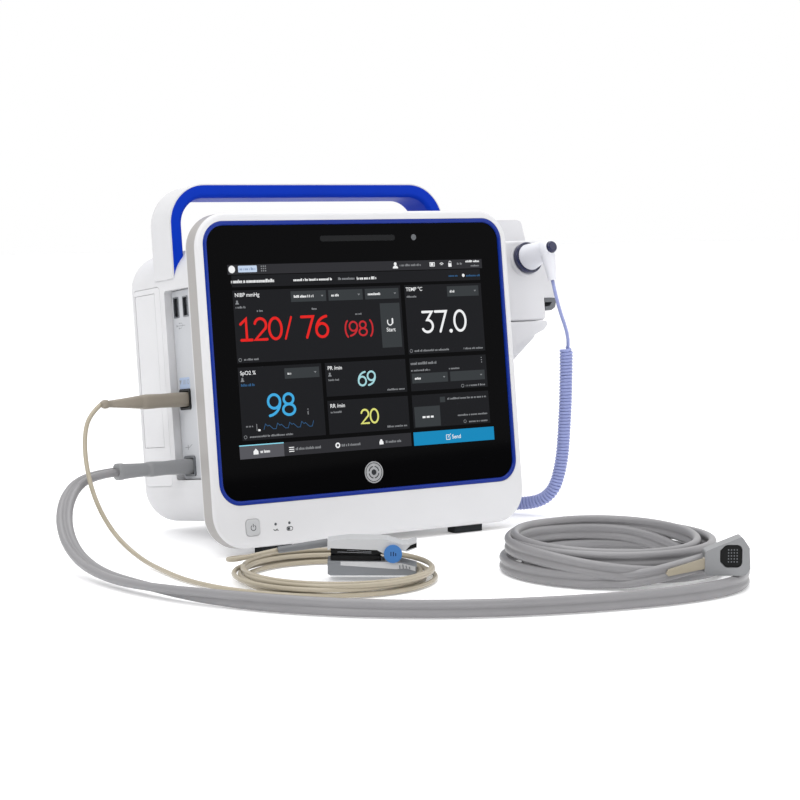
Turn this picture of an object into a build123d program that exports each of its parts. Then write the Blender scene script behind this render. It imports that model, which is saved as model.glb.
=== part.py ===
from build123d import *
import math
import os

# Bedside vital-signs monitor with its finger sensor, cuff hose and thermometer probe.
#
# Case parts are drawn in the case frame: X across the screen, Y from the glass towards the back,
# Z up the face, origin at the centre of the screen's lit area. The case leans back by TILT, and into_row()
# puts it in the row frame, where Z is vertical and z = 0 is the surface it stands on.
# Leads that lie free are drawn in the row frame directly. All sizes are in millimetres.

os.makedirs("parts", exist_ok=True)

# ---------------------------------------------------------------- driving dimensions
TILT = 7.25                       # lean of the case, degrees
CASE_X, CASE_Y, CASE_Z = -36.25, -65.85, 134.0   # case origin in the row frame

BEZEL_W, BEZEL_TOP, BEZEL_BOTTOM = 264.0, 104.0, -129.5
BEZEL_FRONT, BEZEL_BACK, BEZEL_R = -0.6, 14.7, 25.0
BEZEL_WALL = 2.5
RING_W, RING_TOP, RING_BOTTOM, RING_R = 253.0, 98.0, -99.5, 16.5
RING_BAND = 3.2                   # width of the coloured trim bead
GLASS_T = 1.9
PICTURE_W, PICTURE_H = 216.96, 135.6           # 10.1 inch, 16:10
LIGHT_BAR_W, LIGHT_BAR_H, LIGHT_BAR_Z = 64.0, 4.4, 84.6
SENSOR_X, SENSOR_R = 48.4, 2.3
BUTTON_X, BUTTON_Z, BUTTON_W, BUTTON_H = -102.5, -115.2, 11.0, 11.5
LED_XS, LED_Z = (-84.2, -73.1), -114.4

CASE_W, CASE_TOP, CASE_BOTTOM, CASE_R = 236.0, 86.0, -112.0, 26.0
CASE_BACK, CASE_BACK_R, WALL = 140.0, 12.0, 2.8
FLANGE_T = 2.5
SIDE_X = -CASE_W / 2              # outer face of the left side wall

RECESS_Y, RECESS_Z, RECESS_DEPTH = (30.0, 79.0), (-80.5, 56.0), 7.6
PANEL_T, PANEL_GAP = 2.0, 0.7
PANEL_X = SIDE_X + RECESS_DEPTH - PANEL_T      # outer face of the connector panel
USB_YS, USB_Z = (78.3 - 6.2, 64.2 - 6.2), 43.5
OXI_Y, OXI_Z = 67.0, -22.7        # oximeter socket centre
AIR_Y, AIR_Z = 66.5, -70.6        # cuff air socket centre

COVER_Y, COVER_Z, COVER_T = (86.0, 128.4), (-85.0, 60.0), 2.5
DOOR_Y, DOOR_Z = (95.0, 126.55), (-56.0, 55.5)
DOOR_AXIS_R = COVER_T / 2         # the hinge knuckle is as thick as the door
DOOR_AXIS_X, DOOR_AXIS_Y = SIDE_X + DOOR_AXIS_R, DOOR_Y[1] - DOOR_AXIS_R
DOOR_PIN_R, SEAM = 0.8, 0.3

HANDLE_W, HANDLE_TOP, HANDLE_R = 237.4, 132.0, 30.0
HANDLE_Y, HANDLE_T, HANDLE_SKIN, HANDLE_FOOT = (62.0, 92.0), 10.5, 1.3, 64.0

HOLDER_Y = 36.0                   # front face of the thermometer holder
WELL_X, WELL_Z, WELL_LIFT = 174.0, 69.0, 10.0  # probe axis rises forwards by WELL_LIFT degrees
COLLAR_R, COLLAR_S = 12.3, (3.0, 7.6)

# inside the front, the rear, base and thermometer module
REBATE_Y, LEDGE_Y = 3.0, 5.2      # the glass sits in the rebate, the picture panel behind the ledge
POCKET_Y = 2.4
BOSS_PLACES = [(sx * 125.0, z) for sx in (-1, 1) for z in (62.0, -20.0, -98.0)]
INLET_X, LAN_X, INLET_Z = 62.0, 24.0, -78.0
VENT_COUNT, VENT_PITCH = 17, 9.0
SPEAKER_X, SPEAKER_Y = 66.0, 70.0
TEMP_SOCKET_Y, TEMP_SOCKET_Z = 70.0, -84.0
TEMP_SCREWS = [(y, z) for y in (70.0, 112.0) for z in (2.0, 50.0)]
HANDLE_SCREWS = [(sx * 111.4, y) for sx in (-1, 1) for y in (69.0, 85.0)]
BASE_SCREWS = [(sx * 46.0, y) for sx in (-1, 1) for y in (34.0, 104.0)]
OXI_SIZE, AIR_SIZE = (16.0, 15.0), (16.0, 14.6)
BAY_BACK = -24.0
FOOT_W, FOOT_R = 26.0, 2.5
FRONT_FOOT_X, FRONT_FOOT_Y = 82.0, 8.6         # case frame, under the bezel's lower edge
REAR_FOOT_X, REAR_FOOT_Y = 36.0, 127.0
BASE_W, BASE_Y, BASE_CLEAR = 120.0, (27.0, 115.0), 4.0
BASE_BOLT, BASE_BOLT_R, BASE_BOLT_DEPTH = 75.0, 2.0, 4.5
PUMP_Y, PUMP_Z = 60.0, -90.0
ELBOW_S, ELBOW_R, PROBE_END, LIMB_TOP_R, LIMB_END_R = 31.0, 7.2, 36.5, 6.0, 3.0
LIMB_DOWN, LIMB_LEAN, EJECT_R = 24.5, 1.4, 4.5
JOINT_GAP = 0.25                  # between a lead and the moving piece that it leaves
PLUG_REACH = 24.0

# leads and finger clip
LEAD_R, CURL_R = 1.3, 5.35        # the straight wire, and the outside of the curly stretch
CURL_ROUTE = [
    (149.4, -60.8, 132.0),
    (150.4, -59.8, 102.0),
    (150.2, -57.8, 72.0),
    (147.2, -55.2, 45.0),
    (139.5, -47.5, 22.5),
    (130.0, -34.5, 11.2),
    (121.0, -20.5, 8.2),
]
LEAD_TOP = [(140.0, -59.6, 171.0), (143.8, -61.6, 156.5), (149.6, -61.8, 143.5), (151.9, -60.6, 132.0)]
LEAD_BOTTOM = [(121.0, -20.5, 8.2), (117.6, -14.2, 9.0), (116.6, -7.4, 15.8), (116.4, -4.0, 25.8),
               (113.0, -5.8, 36.0)]
HOSE_R = 5.6                      # half the height of the twin-bore hose, which lies on edge
HOSE_COIL = (33.0, -259.5)
HOSE_ROUTE = [
    (-229, -10, 55),
    (-250, -22, 46),
    (-264.5, -43, 29.5),
    (-271, -74, 13.5),
    (-272, -117, 5.7),
    (-265, -176, 5.7),
    (-243, -234, 5.7),
    (-203, -291, 5.7),
    (-146, -335, 5.7),
    (-81, -361, 5.7),
    (-14, -375, 5.7),
    (36, -373, 5.7),
    (68, -357, 5.7),
    (88, -329, 5.7),
    (95, -297, 5.7),
    (94, -268, 5.7),
]
HOSE_TAIL = [(-16.5, -309, 5.7), (-2, -323, 6.5), (14.5, -339, 12), (33.7, -353.3, 19.5)]
CONNECTOR_WAY = (0.836, -0.549, 0.0)
CUFF_PLUG_L, OXI_PLUG_L = 58.0, 66.0
THUMB_X = 17.0
CABLE_R = 1.6
CABLE_COIL = (-139.25, -187.85)
CABLE_ROUTE = [
    (-222, -4, 99),
    (-230, -8, 90),
    (-235, -16, 73),
    (-236.5, -27, 52),
    (-233.5, -37, 33),
    (-226.5, -49, 15.5),
    (-219, -70, 3.4),
    (-221.5, -106, 1.8),
    (-225, -144, 1.8),
    (-220, -181, 1.8),
    (-206, -213, 1.8),
    (-185, -237, 1.8),
    (-168, -244.5, 1.8),
]
CABLE_TAIL = [
    (-155.3, -127.5, 9),
    (-168, -128.5, 9.2),
    (-178.5, -129.6, 9.6),
    (-186.6, -133.2, 10.2),
    (-191, -140, 11),
    (-190.2, -148, 12.2),
    (-184.2, -154, 14.2),
    (-176.5, -158.6, 16.3),
]
CLIP_PLACE, CLIP_WAY, CLIP_BASE = (-104.25, -205.85), (0.836, -0.549, 0), 3.6
CLIP_W, JAW_L, BOOT_L, PIVOT_Z, PIVOT_R, PIN_R = 20.0, 42.5, 32.5, 14.5, 5.0, 1.5

nodes = {}


# ---------------------------------------------------------------- helpers
def rounded(width, height, radius, x=0.0, y=0.0):
    """A rounded rectangle with its centre at x, y."""
    return Pos(x, y) * RectangleRounded(width, height, radius)


def span(low, high):
    return (low + high) / 2, high - low


def slab(sketch, front, back):
    """The sketch, drawn in X and Z, as a solid between two values of Y."""
    plane = Plane(origin=(0, back, 0), x_dir=(1, 0, 0), z_dir=(0, -1, 0))
    return extrude(plane * sketch, amount=back - front, dir=(0, -1, 0))


def side_slab(sketch, low, high):
    """The sketch, drawn in Y and Z, as a solid between two values of X."""
    plane = Plane(origin=(low, 0, 0), x_dir=(0, 1, 0), z_dir=(1, 0, 0))
    return extrude(plane * sketch, amount=high - low, dir=(1, 0, 0))


def block(x, y, z, radius=0.0):
    """A box from three (low, high) pairs; radius rounds all its edges."""
    (cx, w), (cy, d), (cz, h) = span(*x), span(*y), span(*z)
    solid = Pos(cx, cy, cz) * Box(w, d, h)
    return fillet(solid.edges(), radius) if radius else solid


def rod(start, end, radius):
    """A cylinder between two points."""
    a, b = Vector(*start), Vector(*end)
    return extrude(Plane(origin=a, z_dir=(b - a).normalized()) * Circle(radius), amount=(b - a).length)


def cone(start, end, r_start, r_end):
    """A round taper between two points."""
    a, b = Vector(*start), Vector(*end)
    plane = Plane(origin=a, z_dir=(b - a).normalized())
    far = Plane(origin=b, z_dir=(b - a).normalized())
    return loft([plane * Circle(r_start), far * Circle(r_end)])


def edges_at(solid, axis, value, tolerance=0.01):
    """The edges that lie wholly at one value of an axis."""
    return solid.edges().filter_by(
        lambda e: abs(e.bounding_box().min.__getattribute__(axis) - value) < tolerance
        and abs(e.bounding_box().max.__getattribute__(axis) - value) < tolerance
    )


def rim(solid, centre):
    """The circular edges round one point."""
    circles = solid.edges().filter_by(GeomType.CIRCLE)
    return circles.filter_by(lambda e: (e.arc_center - Vector(*centre)).length < 0.1)


def into_row(solid):
    return Pos(CASE_X, CASE_Y, CASE_Z) * Rot(-TILT, 0, 0) * solid


def add(name, *solids, in_row=False):
    """Keeps one node, made of one or more separate solids."""
    placed = [s if in_row else into_row(s) for s in solids]
    nodes[name] = placed[0] if len(placed) == 1 else Compound(children=placed)


# ---------------------------------------------------------------- display head
BEZEL_Z, BEZEL_H = span(BEZEL_BOTTOM, BEZEL_TOP)
RING_Z, RING_H = span(RING_BOTTOM, RING_TOP)
GLASS_W, GLASS_H = RING_W - 2 * RING_BAND, RING_H - 2 * RING_BAND


def display_head():
    bezel = slab(rounded(BEZEL_W, BEZEL_H, BEZEL_R, 0, BEZEL_Z), BEZEL_FRONT, BEZEL_BACK)
    bezel = fillet(edges_at(bezel, "Y", BEZEL_FRONT), 2.8)
    bezel = fillet(edges_at(bezel, "Y", BEZEL_BACK), 1.2)
    inner_w, inner_h = BEZEL_W - 2 * BEZEL_WALL, BEZEL_H - 2 * BEZEL_WALL
    pocket = rounded(inner_w, inner_h, BEZEL_R - BEZEL_WALL, 0, BEZEL_Z)
    bezel -= slab(pocket, POCKET_Y, BEZEL_BACK + 1)
    bezel += slab(rounded(RING_W + 4, RING_H + 4, RING_R + 2, 0, RING_Z), POCKET_Y - 0.5, LEDGE_Y)
    bezel -= slab(rounded(RING_W, RING_H, RING_R, 0, RING_Z), BEZEL_FRONT - 1, REBATE_Y)
    bezel -= slab(rounded(PICTURE_W + 7, PICTURE_H + 7, 3), 0, LEDGE_Y + 1)
    bezel -= slab(rounded(LIGHT_BAR_W + 2, LIGHT_BAR_H + 2, 3, 0, LIGHT_BAR_Z), 0, LEDGE_Y + 1)
    bezel -= slab(rounded(BUTTON_W + 0.5, BUTTON_H + 0.5, 3.0, BUTTON_X, BUTTON_Z), -2, 4)
    for x in LED_XS:
        bezel -= slab(Pos(x, LED_Z) * Circle(1.05), -2, 4)
    for x, z in BOSS_PLACES:
        bezel += slab(Pos(x, z) * Circle(3.6), REBATE_Y + 0.1, BEZEL_BACK)
        bezel -= slab(Pos(x, z) * Circle(1.5), 6, BEZEL_BACK + 1)
    add("front_bezel", bezel)

    ring = slab(rounded(RING_W, RING_H, RING_R, 0, RING_Z), -1.3, REBATE_Y)
    ring -= slab(rounded(GLASS_W, GLASS_H, RING_R - RING_BAND, 0, RING_Z), -3, 4)
    add("trim_ring", fillet(edges_at(ring, "Y", -1.3), 1.3))

    glass = slab(rounded(GLASS_W - 0.2, GLASS_H - 0.2, RING_R - RING_BAND, 0, RING_Z), 0, GLASS_T)
    glass -= slab(rounded(LIGHT_BAR_W, LIGHT_BAR_H, 2.1, 0, LIGHT_BAR_Z), -1, 3)
    glass -= slab(Pos(SENSOR_X, LIGHT_BAR_Z) * Circle(SENSOR_R), -1, 3)
    add("screen_glass", glass)

    light = slab(rounded(LIGHT_BAR_W - 0.2, LIGHT_BAR_H - 0.2, 2.0, 0, LIGHT_BAR_Z), -0.2, 5.0)
    add("alarm_light_bar", fillet(edges_at(light, "Y", -0.2), 0.15))
    panel = slab(rounded(PICTURE_W + 13, PICTURE_H + 13, 2), LEDGE_Y + 0.1, 10.5)
    add("picture_panel", panel)
    plate = slab(rounded(238, 168, 6, 0, -2), 10.6, 11.8)
    for x in (-80, 0, 80):
        plate -= slab(rounded(50, 20, 4, x, -60), 10, 12)
    for sx in (-1, 1):
        plate += slab(rounded(5.2, 20, 2, sx * 119.6, 30), 10.6, 11.8)
    add("screen_chassis", plate)


def power_button():
    cap = slab(rounded(BUTTON_W, BUTTON_H, 2.8, BUTTON_X, BUTTON_Z), -1.5, 3.0)
    cap = fillet(edges_at(cap, "Y", -1.5), 0.9)
    cap += slab(rounded(BUTTON_W + 2.4, BUTTON_H + 2.4, 3, BUTTON_X, BUTTON_Z), POCKET_Y + 0.1, 3.5)
    add("power_button", cap)
    board = slab(rounded(50, 14, 1.5, -90, BUTTON_Z + 0.8), 6.5, 8.1)
    board += slab(rounded(6, 6, 0.8, BUTTON_X, BUTTON_Z), 4.9, 6.6)
    add("button_board", board)
    pipes = [slab(Pos(x, LED_Z) * Circle(0.95), -0.62, 6.4) for x in LED_XS]
    sensor = slab(Pos(SENSOR_X, LIGHT_BAR_Z) * Circle(SENSOR_R - 0.1), 0.1, 2.6)
    add("light_pipes", *pipes, sensor)


# ---------------------------------------------------------------- rear case
CASE_ZC, CASE_H = span(CASE_BOTTOM, CASE_TOP)


def case_body(shrink, front, back, back_radius):
    """The rounded box of the rear case, made smaller all round by shrink."""
    outline = rounded(CASE_W - 2 * shrink, CASE_H - 2 * shrink, CASE_R - shrink, 0, CASE_ZC)
    body = slab(outline, front, back)
    return fillet(edges_at(body, "Y", back), back_radius)


case_outer = case_body(0, BEZEL_BACK + 0.1, CASE_BACK, CASE_BACK_R)


def rear_case():
    flange_front = BEZEL_BACK + 0.1
    flange = slab(rounded(BEZEL_W - 1.5, BEZEL_H - 1.5, BEZEL_R - 0.75, 0, BEZEL_Z),
                  flange_front, flange_front + FLANGE_T)
    flange = fillet(edges_at(flange, "Y", flange_front + FLANGE_T), 1.4)
    shell = case_outer + flange
    shell -= case_body(WALL, flange_front - 1, CASE_BACK - WALL, CASE_BACK_R - WALL)

    # the connector recess: a tray let into the left wall, with a ledge for the panel
    floor_x = SIDE_X + RECESS_DEPTH
    tray = block((SIDE_X + 1, floor_x + 2), (RECESS_Y[0] - 2, RECESS_Y[1] + 2),
                 (RECESS_Z[0] - 2, RECESS_Z[1] + 2))
    shell += tray
    recess = rounded(RECESS_Y[1] - RECESS_Y[0], RECESS_Z[1] - RECESS_Z[0], 2.5,
                     span(*RECESS_Y)[0], span(*RECESS_Z)[0])
    shell -= side_slab(recess, SIDE_X - 5, floor_x)
    shell -= block((floor_x - 1, floor_x + 3), (RECESS_Y[0] + 3, RECESS_Y[1] - 1.8),
                   (RECESS_Z[0] + 1.6, RECESS_Z[1] - 3))

    # the battery side: a rebate for the cover and the mouth of the battery bay
    rim = block((SIDE_X + 1, SIDE_X + 5.5), (COVER_Y[0] - 2, COVER_Y[1] + 2),
                (COVER_Z[0] - 2, COVER_Z[1] + 2))
    shell += rim & case_outer
    cover = rounded(COVER_Y[1] - COVER_Y[0], COVER_Z[1] - COVER_Z[0], 4,
                    span(*COVER_Y)[0], span(*COVER_Z)[0])
    shell -= side_slab(cover, SIDE_X - 5, SIDE_X + COVER_T + 0.1)
    shell -= block((SIDE_X, SIDE_X + 6), (97, 125), (-54, 53.5))

    # rear openings: mains inlet, network jack, vents and a speaker grille
    shell -= slab(rounded(27.4, 20.4, 2, INLET_X, INLET_Z), 130, 145)
    shell -= slab(rounded(16.4, 14.4, 1, LAN_X, INLET_Z), 130, 145)
    for i in range(VENT_COUNT):
        x = (i - (VENT_COUNT - 1) / 2) * VENT_PITCH
        shell -= slab(rounded(3.2, 34, 1.59, x, 44), 130, 145)
    for i in range(7):
        shell -= Pos(SPEAKER_X, SPEAKER_Y - 15 + 5 * i, CASE_BOTTOM) * Box(26, 2.2, 8)
    # the thermometer lead's socket and its module's screws come through the right wall
    shell -= rod((CASE_W / 2 - 6, TEMP_SOCKET_Y, TEMP_SOCKET_Z),
                 (CASE_W / 2 + 2, TEMP_SOCKET_Y, TEMP_SOCKET_Z), 6.1)
    for y, z in TEMP_SCREWS:
        shell -= rod((CASE_W / 2 - 6, y, z), (CASE_W / 2 + 2, y, z), 1.6)
    for x, y in HANDLE_SCREWS:
        shell -= rod((x, y, 55), (x, y, 90), 1.6)
    for x, z in BOSS_PLACES:
        shell -= slab(Pos(x, z) * Circle(1.6), 10, 20)
    for x, y in BASE_SCREWS:
        shell -= rod((x, y, CASE_BOTTOM - 4), (x, y, CASE_BOTTOM + 5), 1.6)
    add("rear_case", shell)


def screw(head, direction, length):
    """A pan-head M3 screw: head is the middle of its seat, and the thread runs along direction."""
    seat, way = Vector(*head), Vector(*direction)
    return rod(head, tuple(seat + way * length), 1.45) + rod(tuple(seat - way * 1.8), head, 2.7)


def assembly_screws():
    flange = BEZEL_BACK + 0.1 + FLANGE_T
    screws = [screw((x, flange, z), (0, -1, 0), 9) for x, z in BOSS_PLACES]
    screws += [screw((x, y, CASE_BOTTOM - 2.5), (0, 0, 1), 7) for x, y in BASE_SCREWS]
    screws += [screw((CASE_W / 2 + 2.5, y, z), (-1, 0, 0), 6.5) for y, z in TEMP_SCREWS]
    screws += [screw((x, y, 64.0 + 1.8), (0, 0, 1), 24) for x, y in HANDLE_SCREWS]
    add("assembly_screws", *screws)


def connector_panel():
    y, width = span(RECESS_Y[0] + PANEL_GAP, RECESS_Y[1] - PANEL_GAP)
    z, height = span(RECESS_Z[0] + PANEL_GAP, RECESS_Z[1] - PANEL_GAP)
    panel = side_slab(rounded(width, height, 2, y, z), PANEL_X, PANEL_X + PANEL_T)
    back = PANEL_X + 14
    ports = []
    for usb_y in USB_YS:
        hole = rounded(8.4, 15.2, 0.8, usb_y, USB_Z)
        panel -= side_slab(hole, PANEL_X - 1, PANEL_X + 3)
        port = side_slab(rounded(8.2, 15, 0.7, usb_y, USB_Z), PANEL_X - 0.3, back)
        port -= side_slab(rounded(6.4, 13.2, 0.5, usb_y, USB_Z), PANEL_X - 1, back - 2)
        port += side_slab(rounded(2.0, 11.4, 0.3, usb_y + 1.2, USB_Z), PANEL_X + 1.5, back)
        ports.append(port)
    for (cy, cz), size in ((OXI_Y, OXI_Z), OXI_SIZE), ((AIR_Y, AIR_Z), AIR_SIZE):
        panel -= side_slab(rounded(size[0] + 0.2, size[1] + 0.2, 2, cy, cz), PANEL_X - 1, PANEL_X + 3)
    add("connector_panel", panel)
    add("usb_ports", *ports)

    def socket(cy, cz, size):
        body = side_slab(rounded(*size, 2, cy, cz), PANEL_X - 1, back)
        return body - side_slab(rounded(size[0] - 3, size[1] - 3, 1.2, cy, cz), PANEL_X - 2, back - 4)

    oxi = socket(OXI_Y, OXI_Z, OXI_SIZE)
    add("oximeter_socket", oxi)
    air = socket(AIR_Y, AIR_Z, AIR_SIZE)
    for dz in (-2.9, 2.9):
        air += rod((PANEL_X + 1.5, AIR_Y, AIR_Z + dz), (back + 6, AIR_Y, AIR_Z + dz), 1.5)
        air -= rod((PANEL_X, AIR_Y, AIR_Z + dz), (back + 7, AIR_Y, AIR_Z + dz), 0.7)
    add("air_socket", air)


def battery_side():
    cover = side_slab(rounded(COVER_Y[1] - COVER_Y[0] - 0.6, COVER_Z[1] - COVER_Z[0] - 0.6, 3.7,
                              span(*COVER_Y)[0], span(*COVER_Z)[0]), SIDE_X, SIDE_X + COVER_T)
    gap_y = (DOOR_Y[0] - SEAM, DOOR_Y[1] + SEAM)
    gap_z = (DOOR_Z[0] - SEAM, DOOR_Z[1] + SEAM)
    cover -= block((SIDE_X - 1, SIDE_X + 4), gap_y, gap_z)
    cover -= rod((DOOR_AXIS_X, DOOR_AXIS_Y, DOOR_Z[0] - 2.6),
                 (DOOR_AXIS_X, DOOR_AXIS_Y, DOOR_Z[1] + 2.6), DOOR_PIN_R + 0.06)
    add("side_cover", cover)

    door = block((SIDE_X, SIDE_X + COVER_T), (DOOR_Y[0], DOOR_AXIS_Y), DOOR_Z)
    door += rod((DOOR_AXIS_X, DOOR_AXIS_Y, DOOR_Z[0]), (DOOR_AXIS_X, DOOR_AXIS_Y, DOOR_Z[1]), DOOR_AXIS_R)
    door += block((SIDE_X + COVER_T - 0.5, SIDE_X + COVER_T + 2), (98.2, 99.7), (-9, 9))
    for low, high in ((DOOR_Z[0] - 1, DOOR_Z[0] + 3), (DOOR_Z[1] - 3, DOOR_Z[1] + 1)):
        door -= rod((DOOR_AXIS_X, DOOR_AXIS_Y, low), (DOOR_AXIS_X, DOOR_AXIS_Y, high), DOOR_PIN_R + 0.05)
    add("battery_door", door)
    add("door_hinge_pins", *[
        rod((DOOR_AXIS_X, DOOR_AXIS_Y, low), (DOOR_AXIS_X, DOOR_AXIS_Y, high), DOOR_PIN_R)
        for low, high in ((DOOR_Z[0] - 2.2, DOOR_Z[0] + 3), (DOOR_Z[1] - 3, DOOR_Z[1] + 2.2))])

    bay = block((SIDE_X + 5.6, BAY_BACK), (95.4, 126.6), (-55.6, 55.1))
    bay -= block((SIDE_X, BAY_BACK - 1.6), (97, 125), (-54, 53.5))
    bay += block((BAY_BACK - 4.1, BAY_BACK - 1.5), (104, 118), (-20, 20))
    add("battery_bay", bay)
    add("battery_pack", block((SIDE_X + 5.2, BAY_BACK - 4.2), (97.6, 124.4), (-53.2, 52.7), 2.5))


# ---------------------------------------------------------------- handle, feet and base
def handle():
    def arch(inset, radius):
        width, top = HANDLE_W - 2 * inset, HANDLE_TOP - inset
        return rounded(width, 2 * top, radius, 0, 0)

    def bar(outline):
        solid = slab(outline, *HANDLE_Y)
        solid -= block((-200, 200), (0, 200), (-300, HANDLE_FOOT))
        return solid - case_outer

    skin = bar(arch(0, HANDLE_R) - arch(HANDLE_SKIN, HANDLE_R - HANDLE_SKIN))
    outer_edges = [e for e in edges_at(skin, "Y", HANDLE_Y[0]) + edges_at(skin, "Y", HANDLE_Y[1])
                   if e.center().Z > HANDLE_TOP - 0.1 or abs(e.center().X) > HANDLE_W / 2 - 0.1
                   or (e.geom_type == GeomType.CIRCLE and e.radius > HANDLE_R - 0.1)]
    skin = fillet(outer_edges, 0.9)
    for x, y in HANDLE_SCREWS:
        skin -= rod((x, y, 60), (x, y, 90), 3.0)
    add("handle_shell", skin)

    grip = bar(arch(HANDLE_SKIN, HANDLE_R - HANDLE_SKIN) - arch(HANDLE_T, HANDLE_R - HANDLE_T))
    inner_edges = [e for e in edges_at(grip, "Y", HANDLE_Y[0]) + edges_at(grip, "Y", HANDLE_Y[1])
                   if abs(e.center().Z - (HANDLE_TOP - HANDLE_T)) < 0.1
                   or abs(abs(e.center().X) - (HANDLE_W / 2 - HANDLE_T)) < 0.1
                   or (e.geom_type == GeomType.CIRCLE and abs(e.radius - HANDLE_R + HANDLE_T) < 0.1)]
    grip = fillet(inner_edges, 3.0)
    for x, y in HANDLE_SCREWS:
        grip -= rod((x, y, 60), (x, y, 92), 1.6)
        grip -= rod((x, y, 60), (x, y, 66), 3.0)
    add("handle_grip", grip)


def stand(solid_in_row, carrier):
    """What is left of an upright piece in the row frame under the tilted carrier."""
    rest = solid_in_row - carrier
    return sorted(rest.solids(), key=lambda s: s.bounding_box().min.Z)[0]


def feet_and_base():
    head = into_row(slab(rounded(BEZEL_W, BEZEL_H, BEZEL_R, 0, BEZEL_Z), BEZEL_FRONT, BEZEL_BACK + 2.6))
    body = into_row(case_outer)

    def foot(x, y, depth, carrier, height):
        place = into_row(Pos(x, y, 0) * Box(1, 1, 1)).bounding_box().center()
        y_row = CASE_Y + y * math.cos(math.radians(TILT)) + BEZEL_BOTTOM * math.sin(math.radians(TILT))
        pad = Pos(place.X, y_row, height / 2) * Box(FOOT_W, depth, height)
        pad = fillet(pad.edges().filter_by(Axis.Z), FOOT_R)
        return stand(pad, carrier)

    pads = [foot(side * FRONT_FOOT_X, FRONT_FOOT_Y, 11, head, 8) for side in (-1, 1)]
    pads += [foot(side * REAR_FOOT_X, REAR_FOOT_Y, 16, body, 16) for side in (-1, 1)]
    add("rubber_feet", *pads, in_row=True)

    middle = into_row(Pos(0, sum(BASE_Y) / 2, CASE_BOTTOM) * Box(1, 1, 1)).bounding_box().center()
    depth = BASE_Y[1] - BASE_Y[0]
    plate = Pos(middle.X, middle.Y, BASE_CLEAR + 12) * Box(BASE_W, depth, 24)
    plate = fillet(plate.edges().filter_by(Axis.Z), 8)
    plate = stand(plate, body)
    for dx in (-1, 1):
        for dy in (-1, 1):
            hole = Pos(middle.X + dx * BASE_BOLT / 2, middle.Y + dy * BASE_BOLT / 2, BASE_CLEAR)
            plate -= hole * Cylinder(BASE_BOLT_R, 2 * BASE_BOLT_DEPTH)
    for x, y in BASE_SCREWS:
        plate -= into_row(rod((x, y, CASE_BOTTOM - 30), (x, y, CASE_BOTTOM + 5), 1.6))
        plate -= into_row(rod((x, y, CASE_BOTTOM - 30), (x, y, CASE_BOTTOM - 2.5), 3.2))
    add("base_plate", plate, in_row=True)
    return middle


# ---------------------------------------------------------------- electronics and air system
def electronics():
    board = slab(rounded(180, 120, 3, 6, 10), 24, 25.6)
    for x, z, w, h in ((-30, 30, 28, 28), (20, 34, 20, 20), (60, 0, 24, 16), (-10, -20, 40, 12)):
        board += slab(rounded(w, h, 1, x, z), 25.5, 28)
    add("main_board", board)
    spreader = slab(rounded(90, 46, 3, -4, 32), 28.1, 30.1)
    for i in range(9):
        spreader += slab(rounded(2, 42, 0.5, -44 + 10 * i, 32), 30, 40)
    add("heat_spreader", spreader)
    supply = slab(rounded(86, 50, 3, 62, -60), 66, 110)
    add("power_supply", fillet(edges_at(supply, "Y", 66), 2))
    inlet = slab(rounded(30.5, 23.5, 3, INLET_X, INLET_Z), CASE_BACK, CASE_BACK + 1.8)
    inlet += slab(rounded(27, 20, 2, INLET_X, INLET_Z), 116, CASE_BACK + 0.5)
    inlet -= slab(rounded(23, 16, 3, INLET_X, INLET_Z), 120, CASE_BACK + 3)
    for dx, dz in ((-7, -2), (7, -2), (0, 3)):
        inlet += slab(Pos(INLET_X + dx, INLET_Z + dz) * Rectangle(2, 4), 119, 131)
    add("mains_inlet", inlet)
    jack = slab(rounded(16, 14, 0.8, LAN_X, INLET_Z), 122, CASE_BACK + 0.4)
    jack -= slab(rounded(12, 9, 0.6, LAN_X, INLET_Z), 127, CASE_BACK + 2)
    add("network_jack", jack)
    speaker = rod((SPEAKER_X, SPEAKER_Y, -108.8), (SPEAKER_X, SPEAKER_Y, -105.8), 18)
    speaker += rod((SPEAKER_X, SPEAKER_Y, -106), (SPEAKER_X, SPEAKER_Y, -98), 11)
    add("speaker", speaker)


def air_system():
    pump = rod((-92, PUMP_Y, PUMP_Z), (-59.9, PUMP_Y, PUMP_Z), 12)
    pump += block((-60, -34), (PUMP_Y - 14, PUMP_Y + 14), (PUMP_Z - 14, PUMP_Z + 14), 2)
    add("cuff_pump", pump)
    manifold = block((-28, 16), (PUMP_Y - 10, PUMP_Y + 10), (-102, -84), 1.5)
    for x in (-16, 2):
        manifold += rod((x, PUMP_Y, -85), (x, PUMP_Y, -70), 6)
    for z in (-97, -91):
        manifold += rod((-32, PUMP_Y, z), (-27, PUMP_Y, z), 1.5)
    add("valve_manifold", manifold)
    hoses = []
    for dz, z in ((-2.9, -97), (2.9, -91)):
        start = (PANEL_X + 20.1, AIR_Y, AIR_Z + dz)
        points = [start, (-72, AIR_Y + 12, AIR_Z + dz), (-30 - dz, AIR_Y + 14, AIR_Z + dz),
                  (-25.4 - dz, PUMP_Y + 18, z + 6), (-24 - dz, PUMP_Y + 10.1, z + 2)]
        hoses.append(tube(points, 2.2))
    add("air_tubes", *hoses)


# ---------------------------------------------------------------- cords
def corner_radii(points):
    """A radius for each corner: 0.45 of the shorter run, over the tangent of half the turn."""
    radii = []
    for a, b, c in zip(points, points[1:], points[2:]):
        u, v = Vector(*b) - Vector(*a), Vector(*c) - Vector(*b)
        half_turn = math.radians(u.get_angle(v)) / 2
        radii.append(0.45 * min(u.length, v.length) / math.tan(half_turn))
    return radii


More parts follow.
